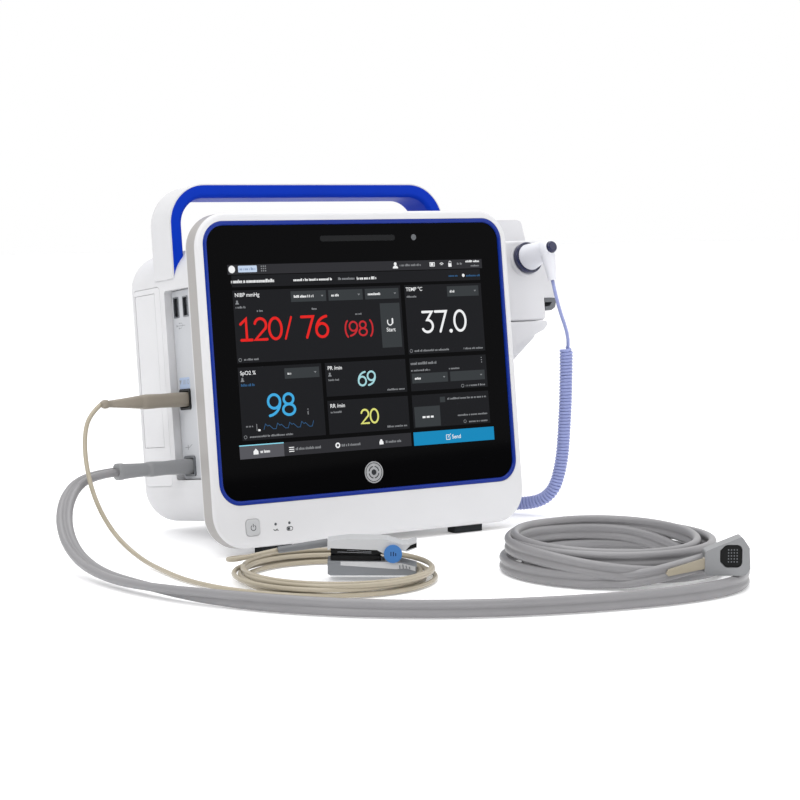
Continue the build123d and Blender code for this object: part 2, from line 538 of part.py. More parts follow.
def tube(points, radius, name=None):
    """A round solid along straight runs that are joined by tangent arcs."""
    radii = corner_radii(points)
    path = FilletPolyline(*points, radius=radii)
    solid = sweep(Plane(origin=path @ 0, z_dir=path % 0) * Circle(radius), path=path)
    if name:
        share = solid.volume / (math.pi * radius**2 * path.length)
        print(f"{name}: {path.length:.0f} mm long, volume over section times length {share:.4f},",
              "radii in diameters", [round(r / radius / 2, 1) for r in radii])
    return solid


def coil_ring(centre, outer, inner, bottom, top, rounding):
    """The outer shape of a coil of cord that lies flat."""
    (x, y), height = centre, top - bottom
    ring = Pos(x, y, bottom + height / 2) * (Cylinder(outer, height) - Cylinder(inner, height))
    return fillet(ring.edges().filter_by(GeomType.CIRCLE), rounding)


# ---------------------------------------------------------------- thermometer
def along(s, down=0.0, x=0.0):
    """A point on the probe's axis, s in front of the holder's face, and down below it."""
    lift = math.radians(WELL_LIFT)
    return (WELL_X + x, HOLDER_Y - s * math.cos(lift), WELL_Z + s * math.sin(lift) - down)


def thermometer_holder():
    wall, front, back = 2.4, 58.1, 128.0
    inner_x = CASE_W / 2 + 0.1
    corners = [(inner_x, -12), (168, -12), (196, 10), (196, 72), (190, 102.5), (inner_x, 102.5)]
    outline = Polygon(*corners, align=None)
    bracket = slab(outline, front, back)
    outside = bracket.edges().filter_by(Axis.Y).filter_by(lambda e: e.center().X > inner_x + 1)
    bracket = fillet(outside, 5)
    rear_edges = edges_at(bracket, "Y", back).filter_by(lambda e: e.center().X > inner_x + 1)
    bracket = fillet(rear_edges, 4)
    bracket -= slab(offset(outline, -wall), front + wall, back - wall)
    bracket -= block((117, inner_x + 1.2), (HANDLE_Y[0] - 0.5, HANDLE_Y[1] + 0.5), (60, 104))
    bracket -= rod(along(-10), along(-40), 7.1)
    for y, z in TEMP_SCREWS:
        bracket -= rod((inner_x - 1, y, z), (inner_x + 4, y, z), 1.6)
    add("thermometer_bracket", bracket)

    face = Polygon((136, 84), (204, 84), (204, 39), (192, 39), (192, 21.6), (136, 21.6), align=None)
    holder = slab(face, HOLDER_Y, front - 0.1)
    rounded_corners = holder.edges().filter_by(Axis.Y).filter_by(
        lambda e: e.center().Z > 80 or e.center().X > 200 or (e.center().X > 190 and e.center().Z < 30))
    holder = fillet(rounded_corners, 3.5)
    holder = fillet(edges_at(holder, "Y", HOLDER_Y).filter_by(lambda e: e.center().Z > 23), 2.0)
    holder -= block((139, 189), (HOLDER_Y + 2.6, 59), (24, 56))
    holder += rod(along(-8), along(COLLAR_S[0]), COLLAR_R + 0.7)
    holder -= rod(along(-40), along(COLLAR_S[0] + 1), 8.6)
    add("probe_holder", holder)

    tray = slab(Polygon((136, 21), (191.6, 21), (192, 18), (188.5, 14.2), (160, 2.7), (136, -7), align=None),
                HOLDER_Y - 0.5, front - 0.1)
    tray = fillet(tray.edges().filter_by(Axis.Y).filter_by(lambda e: e.center().X > 187), 1.2)
    tray -= block((139, 184), (HOLDER_Y + 2.2, front - 2.5), (11.5, 22))
    add("cover_tray", tray)

    hook = slab(Polygon((193.2, 38.9), (204, 38.9), (204, 35.5), (202.7, 31.5), (199, 29.2), (193.2, 29.2),
                        (193.2, 32.2), (197.8, 32.4), (200, 35.6), (193.2, 35.6), align=None),
                HOLDER_Y + 2, HOLDER_Y + 16)
    add("cord_hook", hook)

    collar = rod(along(COLLAR_S[0]), along(COLLAR_S[1]), COLLAR_R)
    collar -= rod(along(COLLAR_S[0] - 1), along(COLLAR_S[1] + 1), 8.5)
    add("well_collar", fillet(collar.edges().filter_by(GeomType.CIRCLE), 0.8))
    well = rod(along(-86), along(COLLAR_S[0] - 0.1), 7.0)
    well += rod(along(-1.5), along(COLLAR_S[0] - 0.1), 8.5)
    well -= rod(along(-84), along(COLLAR_S[0] + 1), 4.6)
    add("probe_well", well)


def thermometer_probe():
    """The hand-held probe. Returns the end of its strain relief in the case frame."""
    probe = rod(along(0.2 + COLLAR_S[0]), along(COLLAR_S[1] + 0.6), 8.3)
    probe += cone(along(COLLAR_S[1] + 0.4), along(ELBOW_S - 2), 10.3, ELBOW_R)
    probe += Pos(*along(ELBOW_S)) * Sphere(ELBOW_R)
    limb_top, limb_end = along(ELBOW_S, 1.5), along(ELBOW_S + 2.2, LIMB_DOWN, LIMB_LEAN)
    probe += cone(limb_top, limb_end, LIMB_TOP_R, LIMB_END_R)
    probe -= rod(along(PROBE_END), along(PROBE_END + 9), 12)
    probe -= rod(along(ELBOW_S - 1), along(PROBE_END + 1), EJECT_R + 0.2)
    add("probe_body", probe)
    cap_end = along(PROBE_END + 2.4)
    button = rod(along(ELBOW_S + 2), cap_end, EJECT_R)
    add("eject_button", fillet(rim(button, cap_end), 1.8))
    add("probe_tip", rod(along(-76), along(COLLAR_S[0] + 0.2), 2.0) + cone(along(-80), along(-76), 0.9, 2.0))
    direction = (Vector(*limb_end) - Vector(*limb_top)).normalized()
    return Vector(*limb_end) + direction * JOINT_GAP


def thermometer_socket():
    y, z, wall = TEMP_SOCKET_Y, TEMP_SOCKET_Z, CASE_W / 2
    socket = rod((wall - 9, y, z), (wall + 0.1, y, z), 6) + rod((wall + 0.05, y, z), (wall + 2, y, z), 8.5)
    add("thermometer_socket", socket)
    plug = rod((wall + 2, y, z), (wall + 17, y, z), 6.2)
    plug += cone((wall + 16.9, y, z), (wall + PLUG_REACH, y, z), 5.4, 2.4)
    add("thermometer_plug", plug)


# All three leads below are drawn in the row frame.


def thermometer_lead(boot_end):
    plug_end = into_row(Pos(CASE_W / 2 + PLUG_REACH, TEMP_SOCKET_Y, TEMP_SOCKET_Z) * Box(1, 1, 1)).center()
    print("boot end", boot_end, "plug end", plug_end)
    add("thermometer_curl", tube(CURL_ROUTE, CURL_R, "thermometer_curl"), in_row=True)
    add("thermometer_lead",
        tube([tuple(boot_end)] + LEAD_TOP, LEAD_R, "thermometer lead, top"),
        tube(LEAD_BOTTOM + [tuple(plug_end)], LEAD_R, "thermometer lead, bottom"), in_row=True)


# ---------------------------------------------------------------- cuff hose


def lead_plug(y, z, size, length, body_share, end_r):
    """A moulded plug that leaves its socket along -X: nose, flat body, round taper and end bead."""
    face = PANEL_X - 1
    nose = side_slab(rounded(size[0] - 3.6, size[1] - 3.6, 1.0, y, z), face - 0.5, PANEL_X + 8)
    split, end = face - length * body_share, face - length
    body = side_slab(rounded(size[0] - 1.5, size[1] - 3.5, 3.2, y, z), split, face - 0.2)
    body = fillet(edges_at(body, "X", split), 1.5)
    taper = cone((split + 1, y, z), (end + 3, y, z), (size[1] - 5) / 2, end_r * 0.8)
    bead = rod((end + 3.5, y, z), (end, y, z), end_r)
    return nose + body + taper + bead


def cuff_hose():
    plug = lead_plug(AIR_Y, AIR_Z, AIR_SIZE, CUFF_PLUG_L, 0.6, 6.3)
    add("cuff_hose_plug", plug)
    start = into_row(Pos(PANEL_X - 1 - CUFF_PLUG_L, AIR_Y, AIR_Z) * Box(1, 1, 1)).center()
    print("cuff hose starts", start)
    add("cuff_hose",
        tube([tuple(start)] + HOSE_ROUTE, HOSE_R, "cuff hose"),
        tube(HOSE_TAIL, HOSE_R, "cuff hose tail"), in_row=True)
    add("cuff_hose_coil", coil_ring(HOSE_COIL, 77, 50, 0, 29, 5), in_row=True)

    # the cuff connector stands on edge on the hose, its thumb button towards the front
    inlet = HOSE_TAIL[-1]
    plane = Plane(origin=inlet, x_dir=CONNECTOR_WAY, z_dir=(0.549, 0.836, 0))
    bottom, top = 11.7 - inlet[2], 36.5 - inlet[2]
    corners = [(0, bottom), (25, bottom), (28.5, bottom + 4), (27.8, top - 7), (23, top), (0, 7.6)]
    outline = Polygon(*corners, align=None)
    # local Y of the plane points down, so the outline is turned over
    outline = mirror(outline, about=Plane.XZ)
    body = extrude(plane * outline, amount=6.5, both=True)
    body = fillet(body.edges().filter_by(lambda e: (e @ 0 - e @ 1).length > 12.9 and
                                         abs((e % 0.5).dot(plane.z_dir)) > 0.99), 1.9)
    pocket = Pos(THUMB_X, -(bottom + top) / 2, -6.5) * extrude(THUMB_SHAPE, amount=3.2)
    button = Pos(THUMB_X, -(bottom + top) / 2, -6.1) * extrude(offset(THUMB_SHAPE, -0.35), amount=1.4)
    add("cuff_connector", body - plane.location * pocket, in_row=True)
    add("connector_button", plane.location * button, in_row=True)


THUMB_SHAPE = make_hull(RectangleRounded(12.5, 14.5, 3.5).edges() + (Pos(-7, 0) * Rectangle(1.5, 7)).edges())

# ---------------------------------------------------------------- oximeter cable and finger clip


def finger_clip():
    plane = Plane(origin=(*CLIP_PLACE, CLIP_BASE), x_dir=CLIP_WAY, z_dir=(0, 0, 1))
    half = CLIP_W / 2

    def plate(points, low, high):
        return slab(Polygon(*points, align=None), low, high)

    def ear(radius, low, high):
        return slab(Pos(0, PIVOT_Z) * Circle(radius), low, high)

    lower = plate([(-JAW_L, 1), (2 - JAW_L, 0), (11, 0), (15.5, 1.5), (15.5, 6.2), (6, 8.6), (0, 9.6),
                   (-4, 9.4), (-JAW_L, 9.8)], -half, half)
    lower = fillet(edges_at(lower, "Y", -half) + edges_at(lower, "Y", half), 0.8)
    for low, high in ((-half, -half + 2.7), (half - 2.7, half)):
        lower += ear(PIVOT_R, low, high) + plate([(-5, 8), (5, 8), (5, PIVOT_Z), (-5, PIVOT_Z)], low, high)
    lower -= ear(PIN_R, -half - 1, half + 1)
    upper = plate([(-JAW_L, 18.2), (-5.2, 16.6), (5.2, 16.5), (9, 15.8), (15.5, 18.3), (15.5, 22.5),
                   (10, 20.6), (6, 20.4), (-4, 23.6), (-28, 24.2), (-JAW_L, 22.4)], -half, half)
    upper -= ear(PIVOT_R + 0.4, -half - 1, -half + 3) + ear(PIVOT_R + 0.4, half - 3, half + 1)
    upper += ear(PIVOT_R - 0.6, -half + 3.1, half - 3.1)
    upper -= ear(PIN_R + 0.05, -half - 1, half + 1)
    add("clip_lower_jaw", plane.location * lower, in_row=True)
    add("clip_upper_jaw", plane.location * upper, in_row=True)
    pivot = ear(PIN_R, -half - 0.1, half + 0.1)
    pivot += ear(5.9, -half - 1.7, -half - 0.05) + ear(5.9, half + 0.05, half + 1.7)
    add("clip_pivot", plane.location * pivot, in_row=True)
    pad = plate([(-40.5, 9.9), (-8, 9.55), (-8, 12.2), (-40.5, 13.4)], -7.5, 7.5)
    add("lower_pad", plane.location * pad, in_row=True)
    pad = plate([(-40.5, 14.2), (-8, 12.9), (-8, 16.6), (-40.5, 18.0)], -7.5, 7.5)
    add("upper_pad", plane.location * pad, in_row=True)
    boot = cone((-JAW_L - BOOT_L, 0, 15.2), (-JAW_L, 0, 20.2), 2.2, 2.7)
    add("clip_boot", plane.location * boot, in_row=True)
    boot_end = (plane.location * (Pos(-JAW_L - BOOT_L - JOINT_GAP, 0, 15.2) * Box(1, 1, 1))).center()
    print("clip pivot", plane.origin, "boot end", boot_end)
    return boot_end


def oximeter_cable(boot_end):
    add("oximeter_plug", lead_plug(OXI_Y, OXI_Z, OXI_SIZE, OXI_PLUG_L, 0.58, 3.3))
    start = into_row(Pos(PANEL_X - 1 - OXI_PLUG_L, OXI_Y, OXI_Z) * Box(1, 1, 1)).center()
    print("oximeter cable starts", start)
    add("oximeter_cable",
        tube([tuple(start)] + CABLE_ROUTE, CABLE_R, "oximeter cable"),
        tube(CABLE_TAIL + [tuple(boot_end)], CABLE_R, "oximeter cable tail"), in_row=True)
    add("oximeter_coil", coil_ring(CABLE_COIL, 68.5, 57.5, 0, 10, 2.5), in_row=True)


# ---------------------------------------------------------------- build and write
display_head()
power_button()
rear_case()
assembly_screws()
connector_panel()
battery_side()
handle()
base_middle = feet_and_base()
electronics()
air_system()
thermometer_holder()
limb_end = thermometer_probe()
thermometer_socket()
thermometer_lead(into_row(Pos(*limb_end) * Box(1, 1, 1)).center())
cuff_hose()
oximeter_cable(finger_clip())

boxes = [solid.bounding_box() for solid in nodes.values()]
low = [min(getattr(b.min, axis) for b in boxes) for axis in "XYZ"]
high = [max(getattr(b.max, axis) for b in boxes) for axis in "XYZ"]
print("box", low, high)
print("base middle", base_middle)

for name, solid in nodes.items():
    export_step(solid, f"parts/{name}.step")
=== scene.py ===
import bpy
import math
import random
from mathutils import Matrix, Vector


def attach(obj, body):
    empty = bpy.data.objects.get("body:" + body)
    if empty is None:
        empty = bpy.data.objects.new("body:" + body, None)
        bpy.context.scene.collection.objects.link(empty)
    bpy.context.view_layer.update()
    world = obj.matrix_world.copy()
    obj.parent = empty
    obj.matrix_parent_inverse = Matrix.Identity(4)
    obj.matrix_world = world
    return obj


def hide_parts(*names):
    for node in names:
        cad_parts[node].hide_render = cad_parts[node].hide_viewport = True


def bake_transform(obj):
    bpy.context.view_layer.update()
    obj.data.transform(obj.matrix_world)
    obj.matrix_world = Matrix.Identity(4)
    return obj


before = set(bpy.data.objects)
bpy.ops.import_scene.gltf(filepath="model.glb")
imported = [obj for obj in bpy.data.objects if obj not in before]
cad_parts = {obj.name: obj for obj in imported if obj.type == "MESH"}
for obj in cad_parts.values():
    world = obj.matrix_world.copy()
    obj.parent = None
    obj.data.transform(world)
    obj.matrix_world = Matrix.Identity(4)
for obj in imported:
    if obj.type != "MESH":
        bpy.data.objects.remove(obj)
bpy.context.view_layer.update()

MM = 0.001

TILT = math.radians(7.25)
BUTTON, STATE_LEDS, LED_Z, BADGE_Z = (-102.5, -115.4), (-84.2, -73.1), -114.4, -84.3
USB_YS, USB_Z = (72.1, 58.0), 43.5
CASE = Matrix.Translation((-0.03625, -0.06585, 0.134)) @ Matrix.Rotation(-TILT, 4, "X")


def on_case(x, y, z):
    """A point of the case frame, in millimetres, as a point of the row frame."""
    return CASE @ Vector((x * MM, y * MM, z * MM))


# ---------------------------------------------------------------- materials
def linear(hex_colour):
    """The linear RGBA of a colour written as rrggbb."""
    out = []
    for i in (0, 2, 4):
        value = int(hex_colour[i:i + 2], 16) / 255
        out.append(value / 12.92 if value <= 0.04045 else ((value + 0.055) / 1.055) ** 2.4)
    return (*out, 1.0)


def shade(colour, factor):
    return tuple(min(1.0, c * factor) for c in colour[:3]) + (1.0,)


def surface(name, colour, rough=0.4, grain=0.0, grain_size=0.6, mottle=0.04, mottle_size=30.0,
            wear=0.06, coat=0.0, coat_rough=0.12, metallic=0.0, specular=0.4, subsurface=0.0,
            painted_shade=None, painted_shade_from=3.0, glow=0.0):
    """A moulded or painted surface: fine grain, a slow drift of tone, uneven gloss, and, if asked, a darker
    painted shade on its far side.
    """
    material = bpy.data.materials.new(name)
    material.use_nodes = True
    nodes, links = material.node_tree.nodes, material.node_tree.links
    shader = nodes["Principled BSDF"]
    base = linear(colour) if isinstance(colour, str) else colour
    place = nodes.new("ShaderNodeTexCoord")

    drift = nodes.new("ShaderNodeTexNoise")
    drift.inputs["Scale"].default_value = 1 / (mottle_size * MM)
    drift.inputs["Detail"].default_value = 3
    links.new(place.outputs["Object"], drift.inputs["Vector"])
    tone = nodes.new("ShaderNodeValToRGB")
    tone.color_ramp.elements[0].position = 0.3
    tone.color_ramp.elements[0].color = shade(base, 1 - mottle)
    tone.color_ramp.elements[1].position = 0.7
    tone.color_ramp.elements[1].color = shade(base, 1 + mottle)
    links.new(drift.outputs["Fac"], tone.inputs["Fac"])
    links.new(tone.outputs["Color"], shader.inputs["Base Color"])

    gloss = nodes.new("ShaderNodeMapRange")
    gloss.inputs["To Min"].default_value = max(0.02, rough - wear)
    gloss.inputs["To Max"].default_value = min(1.0, rough + wear)
    links.new(drift.outputs["Fac"], gloss.inputs["Value"])
    links.new(gloss.outputs["Result"], shader.inputs["Roughness"])

    if grain:
        fine = nodes.new("ShaderNodeTexNoise")
        fine.inputs["Scale"].default_value = 1 / (grain_size * MM)
        fine.inputs["Detail"].default_value = 2
        links.new(place.outputs["Object"], fine.inputs["Vector"])
        bump = nodes.new("ShaderNodeBump")
        bump.inputs["Strength"].default_value = grain
        bump.inputs["Distance"].default_value = 0.00008
        links.new(fine.outputs["Fac"], bump.inputs["Height"])
        links.new(bump.outputs["Normal"], shader.inputs["Normal"])

    shader.inputs["Metallic"].default_value = metallic
    if glow:
        shader.inputs["Emission Color"].default_value = (1, 1, 1, 1)
        shader.inputs["Emission Strength"].default_value = glow
    shader.inputs["Specular IOR Level"].default_value = specular
    shader.inputs["Coat Weight"].default_value = coat
    shader.inputs["Coat Roughness"].default_value = coat_rough
    if painted_shade:
        # painted shade: the far side of the piece, past the given plane y of the case frame, gets a darker colour
        # that stands in for the shade on its sides
        depth = nodes.new("ShaderNodeVectorMath")
        depth.operation = "DOT_PRODUCT"
        depth.inputs[1].default_value = tuple(CASE.col[1][:3])
        links.new(place.outputs["Object"], depth.inputs[0])
        shade_mask = nodes.new("ShaderNodeMapRange")
        zero = CASE.col[1].to_3d().dot(CASE.translation)
        shade_mask.inputs["From Min"].default_value = zero + (painted_shade_from - 0.15) * MM
        shade_mask.inputs["From Max"].default_value = zero + (painted_shade_from + 0.15) * MM
        links.new(depth.outputs["Value"], shade_mask.inputs["Value"])
        choice = nodes.new("ShaderNodeMix")
        choice.data_type = "RGBA"
        choice.inputs["B"].default_value = linear(painted_shade)
        links.new(shade_mask.outputs["Result"], choice.inputs["Factor"])
        links.new(tone.outputs["Color"], choice.inputs["A"])
        links.new(choice.outputs["Result"], shader.inputs["Base Color"])
    if subsurface:
        shader.inputs["Subsurface Weight"].default_value = subsurface
        shader.inputs["Subsurface Radius"].default_value = (0.002, 0.002, 0.002)
    return material


def lit(name, colour, strength=1.0):
    """A part of the lit picture, under the gloss of the cover glass."""
    material = bpy.data.materials.new(name)
    material.use_nodes = True
    shader = material.node_tree.nodes["Principled BSDF"]
    shader.inputs["Base Color"].default_value = (0.004, 0.004, 0.005, 1)
    shader.inputs["Roughness"].default_value = 0.12
    shader.inputs["Specular IOR Level"].default_value = 0.04
    shader.inputs["Emission Color"].default_value = linear(colour)
    shader.inputs["Emission Strength"].default_value = strength
    return material


# the bezel's sides, past y = 1.9 mm of the case frame, get painted shade in a darker warm grey
BEZEL = surface("bezel_plastic", "d2d2d4", 0.36, grain=0.10, grain_size=0.5, mottle=0.012, coat=0.04,
                painted_shade="9b9896", painted_shade_from=1.9)
KEYCAP = surface("power_button_plastic", "b7b8ba", 0.40, grain=0.15, grain_size=0.4, mottle=0.02)
MODULE = surface("module_plastic", "d3d3d6", 0.38, grain=0.12, grain_size=0.5, mottle=0.012)
CASING = surface("case_plastic", "cdcdcf", 0.46, grain=0.35, grain_size=0.45, mottle=0.02)
COVER = surface("cover_plastic", "d0d0d2", 0.42, grain=0.22, grain_size=0.45, mottle=0.02)
PANEL = surface("panel_plastic", "babcc0", 0.38, grain=0.18, grain_size=0.4, mottle=0.02)
RING = surface("ring_blue_gloss", "022682", 0.20, mottle=0.03, coat=0.08, specular=0.2)
GRIP = surface("handle_blue_satin", "0031b0", 0.45, grain=0.22, grain_size=0.35, mottle=0.03, specular=0.08)
SHELL = surface("handle_shell_plastic", "cbcbcd", 0.40, grain=0.25, grain_size=0.45, mottle=0.015)
GLASS = surface("black_glass", "020203", 0.05, mottle=0.0, wear=0.01, specular=0.035)
DIFFUSER = surface("milky_diffuser", "101113", 0.20, mottle=0.01, specular=0.12)
PIPE = surface("clear_light_pipe", "55585c", 0.25, mottle=0.02)
BLACK = surface("black_plastic", "0d0e10", 0.42, grain=0.2, mottle=0.05, specular=0.25)
GREY = surface("grey_plastic", "64676b", 0.45, grain=0.2, mottle=0.04)
RUBBER = surface("dark_rubber", "1e2124", 0.72, grain=0.5, grain_size=0.5, mottle=0.08, specular=0.2)
STEEL = surface("port_steel", "8b8e92", 0.26, mottle=0.04, metallic=1.0)
SCREW = surface("zinc_screw", "8f9296", 0.34, mottle=0.06, metallic=1.0)
BOARD = surface("circuit_board", "10402a", 0.40, grain=0.4, mottle=0.10, mottle_size=6)
SHEET = surface("sheet_metal", "aeb1b5", 0.30, grain=0.15, mottle=0.05, metallic=1.0)
NAVY = surface("navy_gloss", "07103c", 0.16, mottle=0.04, coat=0.35)
PROBE = surface("probe_plastic", "dcdde3", 0.30, grain=0.06, mottle=0.01, coat=0.15)
PERIWINKLE = surface("periwinkle_jacket", "8d96c6", 0.34, grain=0.12, mottle=0.03, coat=0.15)
LAVENDER = surface("lavender_jacket", "a3a5bd", 0.36, grain=0.12, mottle=0.03, coat=0.1)
BEIGE = surface("beige_jacket", "a39a88", 0.36, grain=0.16, grain_size=0.4, mottle=0.04, coat=0.15)
TAUPE = surface("taupe_overmould", "8b8377", 0.48, grain=0.3, grain_size=0.4, mottle=0.03)
PLUG_GREY = surface("grey_overmould", "87888a", 0.46, grain=0.3, grain_size=0.4, mottle=0.03)
HOSE = surface("hose_jacket", "858486", 0.40, grain=0.15, grain_size=0.6, mottle=0.03, coat=0.10,
               coat_rough=0.35)
CLIP_LIGHT = surface("clip_light_grey", "bcbdbf", 0.38, grain=0.25, mottle=0.02, coat=0.05)
CLIP_DARK = surface("clip_mid_grey", "75787c", 0.46, grain=0.3, mottle=0.03)
CLIP_BOOT = surface("clip_boot_rubber", "6c6e71", 0.50, grain=0.35, mottle=0.04)
PIVOT = surface("pivot_blue", "4277b6", 0.40, grain=0.12, mottle=0.04, specular=0.25)
PAD = surface("pad_rubber", "08090a", 0.50, grain=0.3, mottle=0.05, specular=0.2)
INK = surface("printed_ink", "3c3e42", 0.5, mottle=0.02, specular=0.2)
SOFT_INK = surface("printed_grey_ink", "8f9195", 0.5, mottle=0.02, specular=0.2)
SKY = surface("socket_blue_tint", "a3b4cf", 0.4, mottle=0.03, specular=0.2)
FLOOR = surface("studio_floor_paint", "f2f2f3", 0.75, mottle=0.004, glow=0.24)
BADGE = surface("badge_silver", "9fa0a2", 0.34, mottle=0.10, mottle_size=3, specular=0.3)
BADGE_DARK = surface("badge_recess", "222326", 0.4, mottle=0.04, specular=0.2)

FINISH = {
    "front_bezel": BEZEL, "power_button": KEYCAP, "cover_tray": MODULE, "probe_holder": MODULE,
    "thermometer_bracket": MODULE, "rear_case": CASING, "battery_bay": CASING, "side_cover": COVER,
    "battery_door": COVER, "connector_panel": PANEL, "trim_ring": RING, "handle_grip": GRIP,
    "handle_shell": SHELL, "screen_glass": GLASS, "alarm_light_bar": DIFFUSER, "light_pipes": PIPE,
    "picture_panel": BLACK, "oximeter_socket": BLACK, "mains_inlet": BLACK, "network_jack": BLACK,
    "speaker": BLACK, "battery_pack": BLACK, "probe_well": BLACK, "air_socket": GREY,
    "base_plate": GREY, "valve_manifold": GREY, "cord_hook": GREY, "thermometer_socket": GREY,
    "rubber_feet": RUBBER, "usb_ports": STEEL, "door_hinge_pins": SCREW, "assembly_screws": SCREW,
    "button_board": BOARD, "main_board": BOARD, "screen_chassis": SHEET, "heat_spreader": SHEET,
    "power_supply": SHEET, "cuff_pump": SHEET, "probe_tip": SHEET, "air_tubes": HOSE,
    "well_collar": NAVY, "eject_button": NAVY, "probe_body": PROBE, "thermometer_plug": PERIWINKLE,
    "thermometer_curl": PERIWINKLE, "thermometer_lead": LAVENDER, "cuff_hose": HOSE,
    "cuff_hose_coil": HOSE, "cuff_hose_plug": PLUG_GREY, "cuff_connector": PLUG_GREY,
    "connector_button": PAD, "oximeter_plug": TAUPE, "oximeter_cable": BEIGE, "oximeter_coil": BEIGE,
    "clip_upper_jaw": CLIP_LIGHT, "clip_lower_jaw": CLIP_DARK, "clip_boot": CLIP_BOOT,
    "clip_pivot": PIVOT, "lower_pad": PAD, "upper_pad": PAD,
}
for node, material in FINISH.items():
    node_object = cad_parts[node]
    node_object.data.materials.clear()
    node_object.data.materials.append(material)


# ---------------------------------------------------------------- mesh helpers
def mesh_piece(name, points, faces, material, body="root", smooth=False):
    """A new piece from points of the row frame, which rides on a body."""
    data = bpy.data.meshes.new(name)
    data.from_pydata([tuple(p) for p in points], [], faces)
    data.update()
    if smooth:
        data.shade_smooth()
    data.materials.append(material)
    piece = bpy.data.objects.new(name, data)
    bpy.context.collection.objects.link(piece)
    if body:
        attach(piece, body)
    return piece


class Print:
    """Flat marks, all at one depth of the case frame, that become one piece."""

    def __init__(self, depth):
        self.depth = depth
        self.points, self.faces = [], []

    def polygon(self, outline):
        first = len(self.points)
        self.points += [on_case(x, self.depth, z) for x, z in outline]
        self.faces.append(list(range(first, first + len(outline))))

    def box(self, left, right, bottom, top, radius=0.0):
        if not radius:
            self.polygon([(left, bottom), (right, bottom), (right, top), (left, top)])
            return
        corners = [(right - radius, top - radius, 0), (left + radius, top - radius, 90),
                   (left + radius, bottom + radius, 180), (right - radius, bottom + radius, 270)]
        self.polygon([p for x, z, turn in corners for p in arc(x, z, radius, radius, turn, turn + 90, 5)])

    def disc(self, x, z, radius, steps=24):
        self.polygon(arc(x, z, radius, radius, 0, 360 - 360 / steps, steps))

    def stroke(self, line, width, closed=False):
        """A ribbon along a line, with round ends."""
        half, count = width / 2, len(line)
        rows = []
        for i, (x, z) in enumerate(line):
            before = line[i - 1] if i or closed else line[0]
            after = line[(i + 1) % count] if i < count - 1 or closed else line[-1]
            into = Vector((x - before[0], z - before[1]))
            out = Vector((after[0] - x, after[1] - z))
            into = into.normalized() if into.length > 1e-6 else out.normalized()
            out = out.normalized() if out.length > 1e-6 else into
            along = (into + out).normalized() if (into + out).length > 1e-3 else out
            side = Vector((-along.y, along.x))
            reach = half / max(0.5, side.dot(Vector((-out.y, out.x))))
            rows.append(((x + side.x * reach, z + side.y * reach), (x - side.x * reach, z - side.y * reach)))
        pairs = list(zip(rows, rows[1:])) + ([(rows[-1], rows[0])] if closed else [])
        for (a, b), (c, d) in pairs:
            self.polygon([a, b, d, c])
        if not closed:
            for x, z in (line[0], line[-1]):
                self.disc(x, z, half, 12)

    def piece(self, name, material, slot="black_glass", body="root"):
        return mesh_piece(name, self.points, self.faces, material, body)


def arc(x, z, radius_x, radius_z, start, end, steps):
    """Points along part of an ellipse, angles in degrees, counterclockwise from +X."""
    angles = [math.radians(start + (end - start) * i / (steps - 1)) for i in range(steps)]
    return [(x + radius_x * math.cos(a), z + radius_z * math.sin(a)) for a in angles]


# ---------------------------------------------------------------- numerals
# Each numeral is a few strokes in a cell one unit high, on the middle of the line.
def numeral(sign):
    if sign == "0":
        return [arc(0.34, 0.5, 0.34, 0.5, 90, 450, 40)]
    if sign == "1":
        return [[(0.06, 0.0), (0.64, 0.0)], [(0.05, 0.76), (0.36, 1.0), (0.36, 0.0)]]
    if sign == "2":
        return [arc(0.33, 0.69, 0.31, 0.31, 165, -32, 18) + [(0.02, 0.0), (0.66, 0.0)]]
    if sign == "3":
        return [[(0.04, 1.0), (0.60, 1.0), (0.30, 0.60)] + arc(0.30, 0.30, 0.32, 0.30, 88, -150, 22)]
    if sign == "6":
        return [arc(0.335, 0.325, 0.325, 0.325, 90, 450, 32), arc(0.70, 0.36, 0.69, 0.64, 180, 98, 14)]
    if sign == "7":
        return [[(0.0, 1.0), (0.66, 1.0), (0.26, 0.0)]]
    if sign == "8":
        return [arc(0.335, 0.755, 0.265, 0.245, 90, 450, 28), arc(0.335, 0.255, 0.325, 0.255, 90, 450, 30)]
    if sign == "9":
        return [[(0.67 - x, 1.0 - z) for x, z in line] for line in numeral("6")]
    if sign == "/":
        return [[(0.0, 0.0), (0.36, 1.0)]]
    if sign == "(":
        return [arc(0.42, 0.5, 0.36, 0.64, 118, 242, 14)]
    if sign == ")":
        return [[(0.42 - x, z) for x, z in line] for line in numeral("(")]
    if sign == ".":
        return [[(0.09, 0.01), (0.11, 0.01)]]
    return []


ADVANCE = {"/": 0.46, "(": 0.40, ")": 0.40, ".": 0.34}


def number(layer, text, left, base, height, width):
    """Numerals as tall as height, outside to outside, with their left edge and base line."""
    scale, x = height - width, left + width / 2
    for sign in text:
        for line in numeral(sign):
            thick = width * 1.5 if sign == "." else width
            layer.stroke([(x + u * scale, base + width / 2 + v * scale) for u, v in line], thick)
        x += ADVANCE.get(sign, 0.80) * scale


def words(layer, text, left, base, size, align="LEFT"):
    """Plain letters from the built-in font, size being the height of a capital."""
    curve = bpy.data.curves.new("letters", "FONT")
    curve.body = text
    curve.align_x = align
    curve.size = size / 0.70
    curve.offset = size * 0.012
    holder = bpy.data.objects.new("letters", curve)
    bpy.context.collection.objects.link(holder)
    bpy.context.view_layer.update()
    flat = bpy.data.meshes.new_from_object(holder)
    for face in flat.polygons:
        layer.polygon([(left + flat.vertices[i].co.x, base + flat.vertices[i].co.y) for i in face.vertices])
    bpy.data.objects.remove(holder)
    bpy.data.curves.remove(curve)
    bpy.data.meshes.remove(flat)


